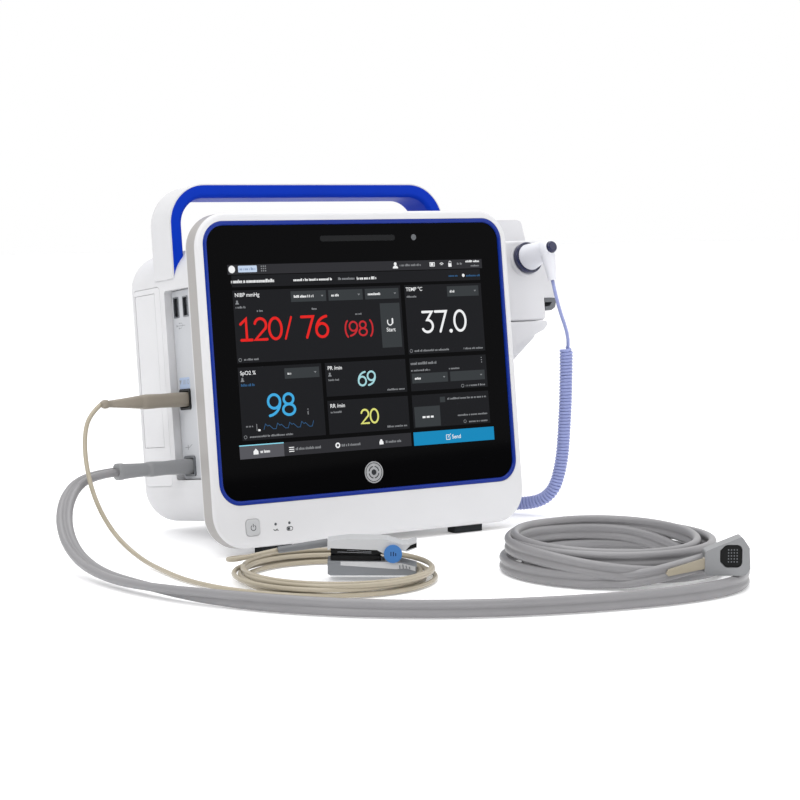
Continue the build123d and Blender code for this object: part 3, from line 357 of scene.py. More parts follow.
def small_print(layer, left, right, base, height, rng):
    """A line too small to read: short bars as wide as letters, with gaps between words."""
    x = left
    while x < right - 0.3:
        end = min(right, x + rng.uniform(0.45, 1.0))
        lift = rng.choice((0.72, 0.72, 0.72, 1.0))
        layer.box(x, end, base, base + height * lift)
        x = end + rng.choice((0.25, 0.25, 0.25, 0.25, 0.9))


# ---------------------------------------------------------------- the picture on the screen
def screen_picture():
    rng = random.Random(7)
    tiles, bars, active, boxes = Print(-0.04), Print(-0.06), Print(-0.08), Print(-0.08)
    white, grey, teal, action = Print(-0.11), Print(-0.11), Print(-0.10), Print(-0.08)
    red, dim_red, blue, pale, yellow = (Print(-0.11) for _ in range(5))
    field, steel, cyan = Print(-0.08), Print(-0.11), Print(-0.10)

    # dark tiles of the vital signs, and the bars above and below them
    for left, right, bottom, top in ((-105.5, 33.5, -1, 49.5), (37, 105.5, -1, 49.5), (-105.5, -38, -55, -4),
                                     (-35, 33.5, -28, -4), (-35, 33.5, -55, -31), (37, 105.5, -28, -4),
                                     (37, 105.5, -55, -31), (-105.5, 105.5, 51.8, 60.0)):
        tiles.box(left, right, bottom, top)
    bars.box(-108.2, 107.8, 60.6, 67.4)
    bars.box(-73, 34, -67.6, -58)
    active.box(-108.4, -73, -67.6, -58.4)
    cyan.box(-108.4, -73, -58.6, -57.9)
    action.box(36.2, 108.2, -67.8, -58)

    # top bar: round mark, search field, grid, person, battery, radio, lock, clock
    white.disc(-104.8, 64.2, 2.6)
    field.box(-99.8, -84.8, 62.0, 66.6, 0.6)
    small_print(steel, -98.6, -86.2, 63.4, 1.9, rng)
    for i in range(3):
        for j in range(3):
            grey.box(-81.6 + 1.6 * i, -80.7 + 1.6 * i, 62.3 + 1.6 * j, 63.2 + 1.6 * j)
    white.disc(30.6, 65.3, 1.2, 14)
    white.polygon(arc(30.6, 62.0, 2.3, 2.2, 0, 180, 12))
    small_print(grey, 34.4, 53, 63.4, 1.7, rng)
    white.stroke([(61, 63), (65, 63), (65, 65.6), (61, 65.6)], 0.5, closed=True)
    white.box(61.6, 64.0, 63.4, 65.2)
    for radius in (0.9, 2.0):
        white.stroke(arc(71.4, 63.2, radius, radius, 45, 135, 8), 0.5)
    white.box(77.4, 80.2, 62.2, 64.8)
    white.stroke([(78.0, 64.8)] + arc(79.0, 65.2, 1.0, 1.2, 180, 0, 8), 0.4)
    small_print(grey, 85.2, 89.6, 63.6, 1.5, rng)
    small_print(white, 93, 105.3, 65.2, 1.5, rng)
    small_print(grey, 97.5, 105.5, 62.0, 1.3, rng)

    # second bar: lines too small to read, and two link marks
    small_print(white, -106, -71.2, 54.6, 2.4, rng)
    small_print(white, -56, -24, 54.8, 1.8, rng)
    small_print(grey, -19, -5, 54.8, 1.8, rng)
    small_print(white, -3.2, 13.6, 54.6, 2.0, rng)
    small_print(teal, 77, 85, 54.8, 1.5, rng)
    white.disc(90.2, 55.6, 1.2, 14)
    small_print(teal, 92.8, 105, 54.6, 1.5, rng)

    # names of the vital signs
    for text, x, z in (("NIBP mmHg", -104, 45.0), ("TEMP °C", 38.2, 45.2), ("SpO2 %", -104, -9.3),
                       ("PR /min", -33, -9.1), ("RR /min", -33, -36.1)):
        words(white, text, x, z, 2.7)
    for left, right, base, height in ((-103.8, -95, 37.0, 1.5), (-87.2, -82.6, 34.2, 1.4),
                                      (-42.6, -38.6, 34.2, 1.4), (-6.6, -1.4, 29.4, 1.3),
                                      (-100, -88.5, 0.6, 1.5), (38.6, 47.5, 40.4, 1.4),
                                      (42.2, 72.6, 0.6, 1.5), (86, 103.3, 0.6, 1.4),
                                      (-32.8, -23.4, -17, 1.4), (-32.8, -23.8, -40, 1.4),
                                      (16.3, 31.4, -26.3, 1.4), (14.2, 31.6, -53, 1.4),
                                      (-102, -96.3, -45.8, 1.4), (-99.6, -65, -53.2, 1.4),
                                      (38, 60.8, -8.8, 2.0), (38, 55, -13.6, 1.4), (71.5, 81.2, -13.6, 1.4),
                                      (85.6, 103, -26.8, 1.4), (68.2, 103.4, -35.8, 1.5),
                                      (76.5, 103.5, -48.4, 1.4), (86.2, 103, -53.6, 1.4)):
        small_print(grey, left, right, base, height, rng)
    small_print(teal, -103.8, -93, -17.3, 1.8, rng)
    for x, z in ((-102.4, 41), (-102.4, -12.8), (-31.4, -12.6)):
        grey.disc(x, z + 0.8, 0.8, 12)
        grey.polygon(arc(x, z - 1.2, 1.4, 1.4, 0, 180, 10))
    for x, z in ((-103, 1.2), (39.4, 1.4), (-103, -52.5), (82.7, -26.2), (82.7, -52.6)):
        grey.stroke(arc(x, z, 1.1, 1.1, 0, 345, 16), 0.35, closed=True)

    # choice boxes with their arrow heads
    for left, right, bottom, top, text_end in ((-59, -30, 40.2, 47.8, -40.5), (-28, 0.8, 40.2, 47.8, -18.4),
                                               (2.8, 31.8, 40.2, 47.8, 15.8), (74.6, 103, 40.2, 47.8, 81),
                                               (-68.4, -40, -13.6, -6.2, -62.8), (38.4, 70, -22.4, -15.2, 46.4),
                                               (72.2, 103.4, -22.4, -15.2, None), (38.4, 61, -54.4, -39.6, None)):
        boxes.box(left, right, bottom, top)
        middle = (bottom + top) / 2
        if text_end:
            small_print(white, left + 2.4, text_end, middle - 0.9, 1.8, rng)
        if top - bottom < 10:
            grey.polygon([(right - 4.4, middle + 0.5), (right - 2.2, middle + 0.5), (right - 3.3, middle - 0.7)])
    boxes.box(61.6, 66.2, -37.4, -33.4)
    for i in range(3):
        white.box(45.2 + 3.6 * i, 47.8 + 3.6 * i, -48.1, -46.7)

    # the start button of the cuff, and the send button
    boxes.box(14.8, 31.8, 4.8, 37.0)
    white.stroke(arc(22.6, 23.4, 2.1, 2.4, 150, 350, 14), 0.8)
    white.stroke([(24.8, 22.6), (24.8, 25.4)], 1.3)
    words(white, "Start", 23.1, 16.4, 2.8, "CENTER")
    words(white, "Send", 70.0, -64.6, 2.9)
    white.stroke([(67.4, -61.6), (65.0, -61.6), (65.0, -65.0), (68.2, -65.0), (68.2, -63.2)], 0.45)
    white.stroke([(66.4, -63.4), (68.9, -61.0)], 0.45)

    # the numbers
    number(red, "120", -102.7, 13.8, 16.6, 1.95)
    number(red, "/", -66.2, 13.8, 16.6, 1.5)
    number(red, "76", -52.7, 13.8, 16.6, 1.95)
    number(dim_red, "(98)", -17.0, 13.8, 11.4, 1.35)
    number(white, "37.0", 49.8, 13.8, 16.6, 1.85)
    number(blue, "98", -84.3, -39.8, 16.6, 1.9)
    number(pale, "69", -8.4, -22.2, 11.1, 1.35)
    number(yellow, "20", -8.2, -49.4, 11.1, 1.35)

    # pulse wave
    wave = []
    for i in range(5):
        start = -88 + 9.8 * i
        wave += [(start, -48), (start + 1.4, -44.2), (start + 3.2, -45.8), (start + 4.4, -45.2),
                 (start + 7.6, -48)]
    teal.stroke(wave[:-3], 0.42)
    grey.box(-93.8, -93.3, -48.6, -43.8)
    white.box(-92.6, -90.8, -48.9, -47.6)
    small_print(grey, -52, -50.6, -38.8, 1.0, rng)
    for i in range(3):
        grey.disc(-51.4, -39.2 + 1.7 * i, 0.45, 10)
        grey.disc(101.3, -9.4 + 1.7 * i, 0.45, 10)

    # tabs
    white.polygon([(-97.6, -64.9), (-93.6, -64.9), (-93.6, -62.8), (-95.6, -60.8), (-97.6, -62.8)])
    small_print(white, -92, -84.4, -64.2, 2.1, rng)
    for i in range(3):
        white.box(-69, -64.8, -62.2 - 1.4 * i, -61.6 - 1.4 * i)
    small_print(grey, -63.6, -42.6, -64.1, 1.9, rng)
    white.stroke(arc(-28.8, -63, 1.5, 1.5, 0, 345, 20), 1.0, closed=True)
    small_print(grey, -25.6, -9, -64.1, 1.8, rng)
    white.disc(8, -62.2, 1.1, 14)
    white.box(6.4, 9.8, -64.8, -62.6)
    small_print(grey, 11.8, 25.6, -64.1, 1.8, rng)

    tiles.piece("screen_tiles", lit("lit_tile", "131416"))
    bars.piece("screen_bars", lit("lit_bar", "2a2a2d"))
    active.piece("screen_active_tab", lit("lit_tab", "55555a"))
    boxes.piece("screen_choice_boxes", lit("lit_box", "34383a"))
    action.piece("screen_send_button", lit("lit_action", "0a87ba"))
    field.piece("screen_search_field", lit("lit_field", "c3d3ea"))
    steel.piece("screen_search_words", lit("lit_field_words", "7f93b4"))
    cyan.piece("screen_active_line", lit("lit_cyan", "8fdcf0"))
    white.piece("screen_white_signs", lit("lit_white", "f0f1f2"))
    grey.piece("screen_small_print", lit("lit_grey", "85878a"))
    teal.piece("screen_teal_lines", lit("lit_teal", "2f5c86"))
    red.piece("screen_pressure", lit("lit_red", "e41f1a"))
    dim_red.piece("screen_mean_pressure", lit("lit_dim_red", "c4262c"))
    blue.piece("screen_saturation", lit("lit_blue", "3fa9df"))
    pale.piece("screen_pulse_rate", lit("lit_pale", "a5d6dc"))
    yellow.piece("screen_breath_rate", lit("lit_yellow", "dcdd78"))


screen_picture()


def front_marks():
    """The power sign, the two state signs and a plain round badge."""
    power = Print(-1.53)
    x, z = BUTTON
    power.stroke(arc(x, z, 1.9, 1.9, 125, 415, 24), 0.5)
    power.stroke([(x, z + 0.6), (x, z + 2.6)], 0.5)
    power.piece("power_sign", INK, "dark_plastic", "power_button")

    signs = Print(-0.63)
    left, right = STATE_LEDS
    signs.stroke([(left - 1.8, LED_Z - 3.6), (left - 1.2, LED_Z - 4.3), (left + 1.0, LED_Z - 4.1),
                  (left + 1.8, LED_Z - 4.5)], 0.6)
    signs.stroke([(left + 0.2, LED_Z - 4.1), (left + 0.9, LED_Z - 3.4)], 0.5)
    signs.stroke(arc(right - 1.1, LED_Z - 4.0, 1.3, 1.3, 90, 270, 12)
                 + arc(right + 1.1, LED_Z - 4.0, 1.3, 1.3, -90, 90, 12), 0.5, closed=True)
    signs.box(right - 1.9, right + 0.2, LED_Z - 4.9, LED_Z - 3.1, 0.4)
    signs.piece("state_signs", INK, "dark_plastic")

    disc, ring, boss = Print(-0.05), Print(-0.09), Print(-0.10)
    disc.disc(0, BADGE_Z, 7.8, 56)
    ring.stroke(arc(0, BADGE_Z, 6.7, 6.7, 0, 352, 56), 0.55, closed=True)
    for turn in range(0, 360, 90):
        ring.stroke(arc(0, BADGE_Z, 4.2, 4.2, turn + 12, turn + 74, 10), 0.8)
    boss.disc(0, BADGE_Z, 2.1, 30)
    disc.piece("badge_disc", BADGE)
    ring.piece("badge_rings", BADGE_DARK)
    boss.piece("badge_middle", BADGE_DARK)


class SidePrint(Print):
    """Flat marks on a plane that faces left: depth is its X, and the two other values are Y and Z."""

    def polygon(self, outline):
        first = len(self.points)
        self.points += [on_case(self.depth, y, z) for y, z in outline]
        self.faces.append(list(range(first, first + len(outline)))[::-1])


def side_marks():
    """Plain signs printed over the sockets, the tints round them, and black plates in the data ports as painted
    shade.
    """
    signs, tint, port_shade = SidePrint(-112.43), SidePrint(-112.42), SidePrint(-110.7)
    # a branched cable over the two data ports
    signs.stroke([(60.4, 30.2), (72.2, 30.2)], 0.45)
    signs.stroke([(63.4, 30.2), (65.6, 32.0), (68.4, 32.0)], 0.4)
    signs.stroke([(64.4, 30.2), (66.6, 28.4), (69.4, 28.4)], 0.4)
    signs.disc(73.0, 30.2, 0.9, 14)
    signs.disc(69.2, 32.0, 0.6, 12)
    signs.box(69.2, 70.4, 27.8, 29.0)
    # a hand with a sensor, and a heart, over the sensor socket
    signs.polygon([(73.5, -12.4), (75.3, -8.8), (71.7, -8.8)])
    for y in (69.4, 67.4, 65.4):
        signs.stroke([(y, -11.8), (y - 0.3, -8.8)], 0.55)
    signs.stroke(arc(61.6, -10.2, 1.3, 1.5, 0, 345, 18), 0.5, closed=True)
    tint.box(59.2, 74.8, -15.2, -7.0, 0.8)
    # an arm with a cuff over the air socket
    signs.stroke([(72.6, -57.2), (66.4, -57.2), (62.2, -55.2)], 0.55)
    signs.stroke([(68.4, -58.6), (68.4, -55.8)], 0.9)
    # black plates deep in the two data ports: painted shade in their openings
    for y in USB_YS:
        port_shade.box(y - 3.2, y + 3.2, USB_Z - 6.6, USB_Z + 6.6)
    signs.piece("socket_signs", SOFT_INK, "dark_plastic")
    tint.piece("sensor_socket_tint", SKY, "dark_plastic")
    port_shade.piece("data_port_painted_shade", BLACK, "dark_plastic")


front_marks()
side_marks()


def in_plane(origin, way, outline, out, thick):
    """A flat plate: outline in (along, up) millimetres from origin, standing out towards the front by out."""
    along = Vector(way).normalized()
    front = Vector((along.y, -along.x, 0))
    if front.y > 0:
        front = -front
    place, n = Vector(origin), len(outline)
    points = []
    for reach in (out, out - thick):
        points += [place + along * u * MM + Vector((0, 0, v * MM)) + front * reach * MM for u, v in outline]
    faces = [list(range(n)), list(range(2 * n - 1, n - 1, -1))]
    faces += [[k, k + n, (k + 1) % n + n, (k + 1) % n] for k in range(n)]
    return points, faces


def plates(name, origin, way, outlines, out, thick, material, body):
    points, faces = [], []
    for outline in outlines:
        more, extra = in_plane(origin, way, outline, out, thick)
        faces += [[k + len(points) for k in face] for face in extra]
        points += more
    return mesh_piece(name, points, faces, material, body=body)


CLIP_ORIGIN, CLIP_WAY = (-0.10425, -0.20585, 0.0036), (0.836, -0.549, 0)


def clip_details():
    """Trim of the finger clip's two jaws, on the side where its blue pivot shows, with painted highlight lines on
    the upper pad.
    """
    plates("clip_tail_insert", CLIP_ORIGIN, CLIP_WAY, [[(8.2, 16.6), (15.3, 18.9), (15.3, 21.6), (11.4, 20.0)]],
           10.15, 0.4, PAD, "clip_jaw")
    plates("clip_nose_frame", CLIP_ORIGIN, CLIP_WAY,
           [[(-42.4, 16.9), (-40.9, 17.3), (-40.9, 18.9), (-42.4, 18.9)],
            [(-12.8, 18.2), (-6.6, 14.8), (-5.0, 15.4), (-5.0, 17.4), (-10.0, 18.4)]],
           10.1, 1.2, CLIP_LIGHT, "clip_jaw")
    plates("clip_pad_lip", CLIP_ORIGIN, CLIP_WAY,
           [[(-40.3, 14.4), (-13.0, 13.5), (-7.2, 14.4), (-12.6, 17.6), (-40.3, 18.6)]],
           9.2, 2.4, PAD, "clip_jaw")
    # two light grey lines along the upper pad: painted highlight on the black rubber
    plates("clip_pad_painted_highlight", CLIP_ORIGIN, CLIP_WAY,
           [[(-36.0, 15.4), (-14.0, 14.7), (-14.0, 14.95), (-36.0, 15.65)],
            [(-30.0, 16.6), (-14.0, 15.6), (-14.0, 15.8), (-30.0, 16.8)]],
           9.26, 0.1, SOFT_INK, "clip_jaw")
    plates("clip_lower_lip", CLIP_ORIGIN, CLIP_WAY,
           [[(-40.3, 10.1), (-13.0, 9.9), (-7.0, 12.6), (-12.6, 13.2), (-40.3, 13.2)]],
           9.2, 2.4, PAD, "root")
    plates("clip_lower_trim", CLIP_ORIGIN, CLIP_WAY,
           [[(-34.0, 6.9), (-10.0, 5.2), (2.0, 4.4), (9.0, 4.8), (14.6, 3.0), (14.6, 5.9), (5.6, 8.2), (-1.0, 9.2),
             (-4.4, 9.0), (-34.0, 9.4)]], 10.15, 0.6, CLIP_LIGHT, "root")
    plates("clip_lower_ribs", CLIP_ORIGIN, CLIP_WAY,
           [[(u, 5.1 - 0.25 * abs(u - 8)), (u + 0.8, 5.1 - 0.25 * abs(u - 8)), (u + 0.5, 7.6 - 0.35 * abs(u - 6)),
             (u - 0.3, 7.6 - 0.35 * abs(u - 6))] for u in (4.2, 6.3, 8.4, 10.5)],
           10.6, 0.6, CLIP_DARK, "root")
    plates("clip_pivot_mark", CLIP_ORIGIN, CLIP_WAY,
           [[(-1.6, 13.2), (-1.0, 13.2), (-1.0, 16.0), (-1.6, 16.0)],
            [(0.0, 13.2), (0.6, 13.2), (0.6, 16.0), (0.0, 16.0)],
            [(1.5, 13.2), (2.1, 13.2), (2.1, 15.2), (1.5, 15.2)]],
           11.74, 0.05, NAVY, "root")


CONNECTOR_ORIGIN, CONNECTOR_WAY = (0.0337, -0.3533, 0.0195), (0.836, -0.549, 0)


def connector_details():
    """The strain relief that lies on the hose, and the grip dots of the release button."""
    plates("connector_wedge", CONNECTOR_ORIGIN, CONNECTOR_WAY,
           [[(-24.0, -7.4), (-22.6, -8.6), (1.0, -3.6), (1.0, 3.4), (-22.6, -4.6)]], 4.2, 5.0, BEIGE, "root")
    dots = [[(u + 0.45 * math.cos(a), v + 0.45 * math.sin(a)) for a in (math.pi * k / 4 for k in range(8))]
            for u in (14.6, 16.4, 18.2, 20.0) for v in (1.0, 2.9, 4.8, 6.7, 8.6)]
    plates("connector_button_dots", CONNECTOR_ORIGIN, CONNECTOR_WAY, dots, 6.16, 0.3, GREY, "connector_button")


clip_details()
connector_details()

# ---------------------------------------------------------------- cords
# The loose leads follow the same points as their CAD tubes, but the curly stretch hangs lower and
# further out than its tube. Each coil shows its turns, where the CAD has one closed ring.
HOSE_ROUTE = [(-0.20765, -0.00879, 0.05557), (-0.229, -0.010, 0.055), (-0.250, -0.022, 0.046),
              (-0.2645, -0.043, 0.0295), (-0.271, -0.074, 0.0135), (-0.272, -0.117, 0.0057),
              (-0.265, -0.176, 0.0057), (-0.243, -0.234, 0.0057), (-0.203, -0.291, 0.0057),
              (-0.146, -0.335, 0.0057), (-0.081, -0.361, 0.0057), (-0.014, -0.375, 0.0057),
              (0.036, -0.373, 0.0057), (0.068, -0.357, 0.0057), (0.088, -0.329, 0.0057),
              (0.095, -0.297, 0.0057), (0.094, -0.268, 0.0057)]
HOSE_TAIL = [(-0.0165, -0.309, 0.0060), (-0.002, -0.323, 0.0068), (0.0145, -0.339, 0.012),
             (0.0337, -0.3533, 0.0195)]
HOSE_WIDE, HOSE_THICK = 0.0112, 0.0056
HOSE_COIL = (0.033, -0.2595)
# turns made so far, radius and height of the hose's middle; it goes round counterclockwise
HOSE_TURNS = [(0.0, 0.0634, 0.0057), (0.25, 0.0580, 0.0057), (0.6, 0.0560, 0.0057), (0.95, 0.0565, 0.0066),
              (1.15, 0.0600, 0.0165), (1.5, 0.0655, 0.0180), (2.0, 0.0700, 0.0182), (2.3, 0.0650, 0.0215),
              (2.8, 0.0585, 0.0180), (3.2, 0.0625, 0.0222), (3.5, 0.0700, 0.0180), (3.75, 0.0745, 0.0090),
              (3.95, 0.0745, 0.0058), (4.3, 0.0720, 0.0057), (4.6, 0.0715, 0.0057), (4.68, 0.0715, 0.0059)]
HOSE_START_ANGLE = -4
HOSE_TWIST = (0.17, 0.32)       # how far along the hose it turns from lying flat to standing on edge

CABLE_ROUTE = [(-0.21565, -0.00225, 0.10303), (-0.222, -0.004, 0.099), (-0.230, -0.008, 0.090),
               (-0.235, -0.016, 0.073), (-0.2365, -0.027, 0.052), (-0.2335, -0.037, 0.033),
               (-0.2265, -0.049, 0.0155), (-0.219, -0.070, 0.0034), (-0.2215, -0.106, 0.0018),
               (-0.225, -0.144, 0.0018), (-0.220, -0.181, 0.0018), (-0.206, -0.213, 0.0018),
               (-0.185, -0.237, 0.0018), (-0.168, -0.2445, 0.0018)]
CABLE_TAIL = [(-0.1553, -0.1275, 0.009), (-0.168, -0.1285, 0.0092), (-0.1785, -0.1296, 0.0096),
              (-0.1866, -0.1332, 0.0102), (-0.191, -0.140, 0.011), (-0.1902, -0.148, 0.0122),
              (-0.1842, -0.154, 0.0142), (-0.1765, -0.1586, 0.0163), (-0.16715, -0.16454, 0.0188)]
CABLE_WIDE = 0.0032
CABLE_COIL = (-0.13925, -0.18785)
CABLE_TURNS = [(0.0, 0.0640, 0.0018), (0.3, 0.0600, 0.0018), (0.7, 0.0575, 0.0019), (1.0, 0.0660, 0.0020),
               (1.35, 0.0690, 0.0020), (1.8, 0.0610, 0.0044), (2.1, 0.0560, 0.0048), (2.5, 0.0640, 0.0052),
               (2.9, 0.0665, 0.0054), (3.3, 0.0620, 0.0054), (3.7, 0.0580, 0.0068), (4.1, 0.0670, 0.0078),
               (4.5, 0.0645, 0.0084), (4.8, 0.0590, 0.0084), (5.2, 0.0655, 0.0086), (5.6, 0.0635, 0.0090)]
CABLE_START_ANGLE = 243

LEAD_TOP = [(0.13917, -0.05628, 0.1832), (0.140, -0.0596, 0.171), (0.1438, -0.0616, 0.1565),
            (0.1496, -0.0618, 0.1435), (0.1519, -0.0606, 0.132)]
CURL_ROUTE = [(0.1494, -0.0608, 0.132), (0.1504, -0.0598, 0.102), (0.1504, -0.058, 0.070),
              (0.1494, -0.0565, 0.042), (0.1448, -0.0520, 0.0175), (0.133, -0.0385, 0.0080),
              (0.121, -0.0205, 0.0082)]
LEAD_BOTTOM = [(0.121, -0.0205, 0.0082), (0.1176, -0.0142, 0.009), (0.1166, -0.0074, 0.0158),
               (0.1164, -0.004, 0.0258), (0.113, -0.0058, 0.036), (0.10575, -0.00701, 0.04184)]
LEAD_WIDE, CURL_WIDE, CURL_PITCH = 0.0026, 0.0107, 0.00255


def eased(table, at):
    """The radius and height of a coil at a number of turns, eased between the table's rows."""
    for (t0, *low), (t1, *high) in zip(table, table[1:]):
        if at <= t1:
            u = (at - t0) / (t1 - t0)
            u = u * u * (3 - 2 * u)
            return [a + (b - a) * u for a, b in zip(low, high)]
    return table[-1][1:]


def coil_points(centre, table, start_angle, per_turn=16):
    """Points along the loose turns of a coil, without its two ends."""
    last = table[-1][0]
    count = round(last * per_turn)
    points = []
    for i in range(1, count):
        at = last * i / count
        radius, height = eased(table, at)
        angle = math.radians(start_angle) + 2 * math.pi * at
        points.append((centre[0] + radius * math.cos(angle), centre[1] + radius * math.sin(angle), height))
    return points


def line_of(route, resolution=6):
    """The points, in order, of the smooth curve that has the route's points as its control points."""
    curve = bpy.data.curves.new("guide", "CURVE")
    curve.dimensions = "3D"
    curve.resolution_u = resolution
    spline = curve.splines.new("NURBS")
    spline.points.add(len(route) - 1)
    for point, place in zip(spline.points, route):
        point.co = (*place, 1)
    spline.order_u = 3
    spline.use_endpoint_u = True
    guide = bpy.data.objects.new("guide", curve)
    bpy.context.collection.objects.link(guide)
    bpy.context.view_layer.update()
    flat = bpy.data.meshes.new_from_object(guide)
    line = [v.co.copy() for v in flat.vertices]
    bpy.data.objects.remove(guide)
    bpy.data.curves.remove(curve)
    bpy.data.meshes.remove(flat)
    return line


def length_of(line):
    return sum((b - a).length for a, b in zip(line, line[1:]))


def tangents(line):
    last = len(line) - 1
    return [(line[min(i + 1, last)] - line[max(i - 1, 0)]).normalized() for i in range(last + 1)]


def swept(line, ups, section):
    """Points and faces of a section of (side, up) offsets carried along a line, closed at its ends."""
    points, faces, n = [], [], len(section)
    for place, way, up in zip(line, tangents(line), ups):
        side = way.cross(up).normalized()
        level = side.cross(way).normalized()
        points += [place + side * a + level * b for a, b in section]
    for row in range(len(line) - 1):
        for k in range(n):
            a, b = row * n + k, row * n + (k + 1) % n
            faces.append([a, b, b + n, a + n])
    faces.append(list(range(n))[::-1])
    faces.append([len(points) - n + k for k in range(n)])
    return points, faces


def steady_ups(line):
    """An up direction at each point of a line that turns as little as it can on the way."""
    ways = tangents(line)
    up = ways[0].orthogonal().normalized()
    ups = []
    for way in ways:
        up = (up - way * up.dot(way)).normalized()
        ups.append(up)
    return ups


def round_cord(name, line, width, material, steps=14):
    section = arc(0, 0, width / 2, width / 2, 0, 360 - 360 / steps, steps)
    points, faces = swept(line, steady_ups(line), section)
    return mesh_piece(name, points, faces, material, body=None, smooth=True)


def smoothstep(low, high, value):
    u = max(0.0, min(1.0, (value - low) / (high - low)))
    return u * u * (3 - 2 * u)


def twin_section(wide, thick, waist=0.40, steps=11):
    """Two round bores side by side along the section's up direction, joined by a narrower web."""
    radius, offset = thick / 2, (wide - thick) / 2
    neck = 38
    upper = [(x, z + offset) for x, z in arc(0, 0, radius, radius, -neck, 180 + neck, steps)]
    waist_point = (-radius * waist, 0.0)
    lower = [(-x, -z) for x, z in upper]
    return upper + [waist_point] + lower + [(radius * waist, 0.0)]


def overmould(name, y, z, stations, material, replaced):
    """A moulded plug along -X of the case: stations of (distance from the socket, half depth, half height)."""
    line, rows = [], []
    for reach, deep, high in stations:
        row = []
        for k in range(PLUG_STEPS):
            a = 2 * math.pi * k / PLUG_STEPS
            c, d = math.cos(a), math.sin(a)
            row.append(on_case(PLUG_X - reach, y + math.copysign(abs(c) ** 0.62, c) * deep,
                               z + math.copysign(abs(d) ** 0.62, d) * high))
        rows.append(row)
    points = [p for row in rows for p in row]
    faces = []
    for r in range(len(rows) - 1):
        for k in range(PLUG_STEPS):
            a, b = r * PLUG_STEPS + k, r * PLUG_STEPS + (k + 1) % PLUG_STEPS
            faces.append([a, a + PLUG_STEPS, b + PLUG_STEPS, b])
    faces.append(list(range(PLUG_STEPS)))
    faces.append([len(points) - 1 - k for k in range(PLUG_STEPS)])
    plug = mesh_piece(name, points, faces, material, smooth=True)
    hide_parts(replaced)
    return plug


PLUG_X, PLUG_STEPS = -113.4, 32
# the body, a crease, the tapered boot and the bead where the cord leaves
SENSOR_PLUG = [(-6.0, 6.0, 5.2), (0, 6.0, 5.2), (3, 6.4, 5.3), (8, 6.5, 5.3), (14, 6.2, 5.1), (20, 6.0, 5.0),
               (26, 6.2, 5.2), (31, 6.3, 5.3), (34, 6.1, 5.1), (35.2, 5.2, 4.5), (36.6, 5.4, 4.7), (42, 4.6, 4.1),
               (49, 3.8, 3.4), (56, 3.0, 2.8), (60.5, 2.5, 2.4), (61.3, 3.2, 3.1), (63.2, 3.3, 3.2),
               (64.4, 2.9, 2.8), (65.6, 1.9, 1.9), (66.0, 1.7, 1.7)]
AIR_PLUG = [(-6.0, 6.2, 5.4), (0, 6.2, 5.4), (3, 6.5, 5.6), (9, 6.6, 5.6), (15, 6.1, 5.2), (21, 5.9, 5.0),
            (27, 6.1, 5.3), (31, 6.3, 5.5), (33, 6.1, 5.3), (34.0, 5.1, 4.6), (35.2, 5.3, 4.8), (41, 5.4, 5.0),
            (48, 5.7, 5.3), (53, 5.9, 5.6), (54.2, 6.1, 6.0), (57.0, 6.1, 6.0), (57.7, 5.6, 5.4), (58.0, 5.0, 3.4)]


def cuff_hose():
    route = HOSE_ROUTE + coil_points(HOSE_COIL, HOSE_TURNS, HOSE_START_ANGLE) + HOSE_TAIL
    line = line_of(route)
    ups, done, up = [], 0.0, Vector((0, 0, 1))
    for i, way in enumerate(tangents(line)):
        if i:
            done += (line[i] - line[i - 1]).length
        flat = way.cross(up).normalized()
        edge = flat.cross(way).normalized()
        turn = smoothstep(*HOSE_TWIST, done) * math.pi / 2
        ups.append(flat * math.cos(turn) + edge * math.sin(turn))
    points, faces = swept(line, ups, twin_section(HOSE_WIDE, HOSE_THICK))
    hose = mesh_piece("cuff_hose_line", points, faces, HOSE, smooth=True)
    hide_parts("cuff_hose", "cuff_hose_coil")
    plug = overmould("air_plug_moulding", 66.5, -70.6, AIR_PLUG, PLUG_GREY, "cuff_hose_plug")


def oximeter_cable():
    route = CABLE_ROUTE + coil_points(CABLE_COIL, CABLE_TURNS, CABLE_START_ANGLE) + CABLE_TAIL
    line = line_of(route)
    # the coil stays where it lies, on the root body, and the short end beyond it is cut off as a piece of its own
    # on no body
    cut = min(range(len(line)), key=lambda i: (line[i] - Vector(CABLE_TAIL[2])).length)
    cable = round_cord("oximeter_cable_line", line[:cut + 1], CABLE_WIDE, BEIGE)
    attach(cable, "root")
    tail = round_cord("oximeter_cable_end", line[cut:], CABLE_WIDE, BEIGE)
    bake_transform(tail)
    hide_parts("oximeter_cable", "oximeter_coil")
    overmould("sensor_plug_moulding", 67.0, -22.7, SENSOR_PLUG, TAUPE, "oximeter_plug")


def helix(line, radius, pitch, per_turn=12):
    """Points round a line, one turn every pitch, with its ends drawn in to the line."""
    total = length_of(line)
    turns = round(total / pitch)
    count, points, done, i = turns * per_turn, [], 0.0, 0
    side = tangents(line)[0].orthogonal().normalized()
    for k in range(count + 1):
        wanted = total * k / count
        while i < len(line) - 2 and done + (line[i + 1] - line[i]).length < wanted:
            done += (line[i + 1] - line[i]).length
            i += 1
        step = line[i + 1] - line[i]
        part = min(1.0, (wanted - done) / step.length)
        way = step.normalized()
        side = (side - way * side.dot(way)).normalized()
        angle = 2 * math.pi * k / per_turn
        ease = min(1.0, k / per_turn, (count - k) / per_turn)
        around = side * math.cos(angle) + way.cross(side) * math.sin(angle)
        points.append(line[i] + step * part + around * radius * ease)
    return points


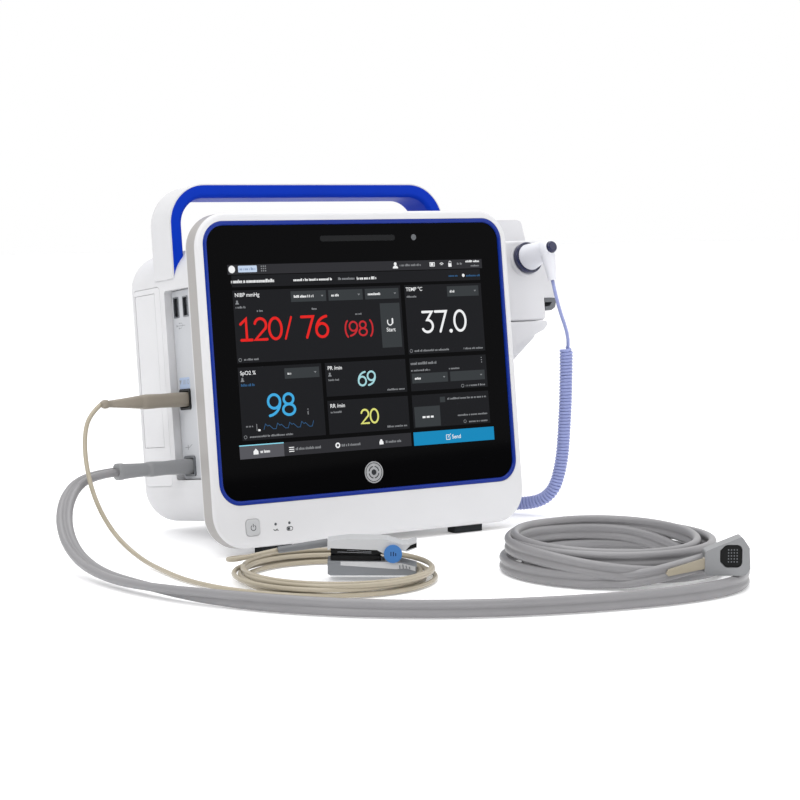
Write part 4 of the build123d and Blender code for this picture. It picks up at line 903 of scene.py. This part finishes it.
def thermometer_lead():
    per_turn = 12
    half_turn = per_turn // 2       # left off at each end, where the helix closes in on the wire
    curl = helix(line_of(CURL_ROUTE, 12), (CURL_WIDE - LEAD_WIDE) / 2, CURL_PITCH, per_turn)
    route = ([Vector(p) for p in LEAD_TOP] + curl[half_turn:-half_turn]
             + [Vector(p) for p in LEAD_BOTTOM[1:]])
    line = line_of(route, 2)
    lead = round_cord("thermometer_lead_line", line, LEAD_WIDE, PERIWINKLE, 10)
    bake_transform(lead)
    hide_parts("thermometer_lead", "thermometer_curl")


cuff_hose()
oximeter_cable()
thermometer_lead()


# ---------------------------------------------------------------- floor, light and camera
WORLD_FRONT, WORLD_BACK = 0.42, 1.0
# name, place, width and power of each lamp
LAMPS = (("key", (-1.6, -1.2, 1.9), 1.6, 26), ("fill", (1.0, -1.9, 1.0), 1.6, 8),
         ("top", (0.1, 0.1, 2.2), 1.8, 24))


def studio():
    size, height = 6.0, -0.0004
    floor = mesh_piece("studio_floor", [(-size, -size, height), (size, -size, height), (size, size, height),
                                        (-size, size, height)], [[0, 1, 2, 3]],
                       FLOOR, body=None)
    world = bpy.data.worlds.new("studio")
    world.use_nodes = True
    nodes, links = world.node_tree.nodes, world.node_tree.links
    place = nodes.new("ShaderNodeTexCoord")
    toward = nodes.new("ShaderNodeVectorMath")
    toward.operation = "DOT_PRODUCT"
    toward.inputs[1].default_value = (0.50, 0.76, 0.42)
    links.new(place.outputs["Generated"], toward.inputs[0])
    glow = nodes.new("ShaderNodeMapRange")
    glow.inputs["From Min"].default_value = -0.55
    glow.inputs["From Max"].default_value = 0.45
    glow.inputs["To Min"].default_value = WORLD_FRONT
    glow.inputs["To Max"].default_value = WORLD_BACK
    links.new(toward.outputs["Value"], glow.inputs["Value"])
    links.new(glow.outputs["Result"], nodes["Background"].inputs["Strength"])
    nodes["Background"].inputs["Color"].default_value = (1, 1, 1, 1)
    bpy.context.scene.world = world
    for name, place, size, power in LAMPS:
        lamp = bpy.data.lights.new(name, "AREA")
        lamp.size = size
        lamp.energy = power
        holder = bpy.data.objects.new(name, lamp)
        holder.location = place
        holder.rotation_euler = (Vector((0, -0.05, 0.1)) - Vector(place)).to_track_quat("-Z", "Y").to_euler()
        bpy.context.collection.objects.link(holder)
    bpy.context.scene.view_settings.view_transform = "Standard"


def camera():
    lens = bpy.data.cameras.new("camera")
    lens.sensor_width, lens.lens = 36.0, 96.1
    lens.clip_start = 0.05
    holder = bpy.data.objects.new("camera", lens)
    holder.location = (-0.85685, -1.35985, 0.2565)
    holder.rotation_euler = (math.radians(84.229), 0, math.radians(-33.301))
    bpy.context.collection.objects.link(holder)
    bpy.context.scene.camera = holder


studio()
camera()
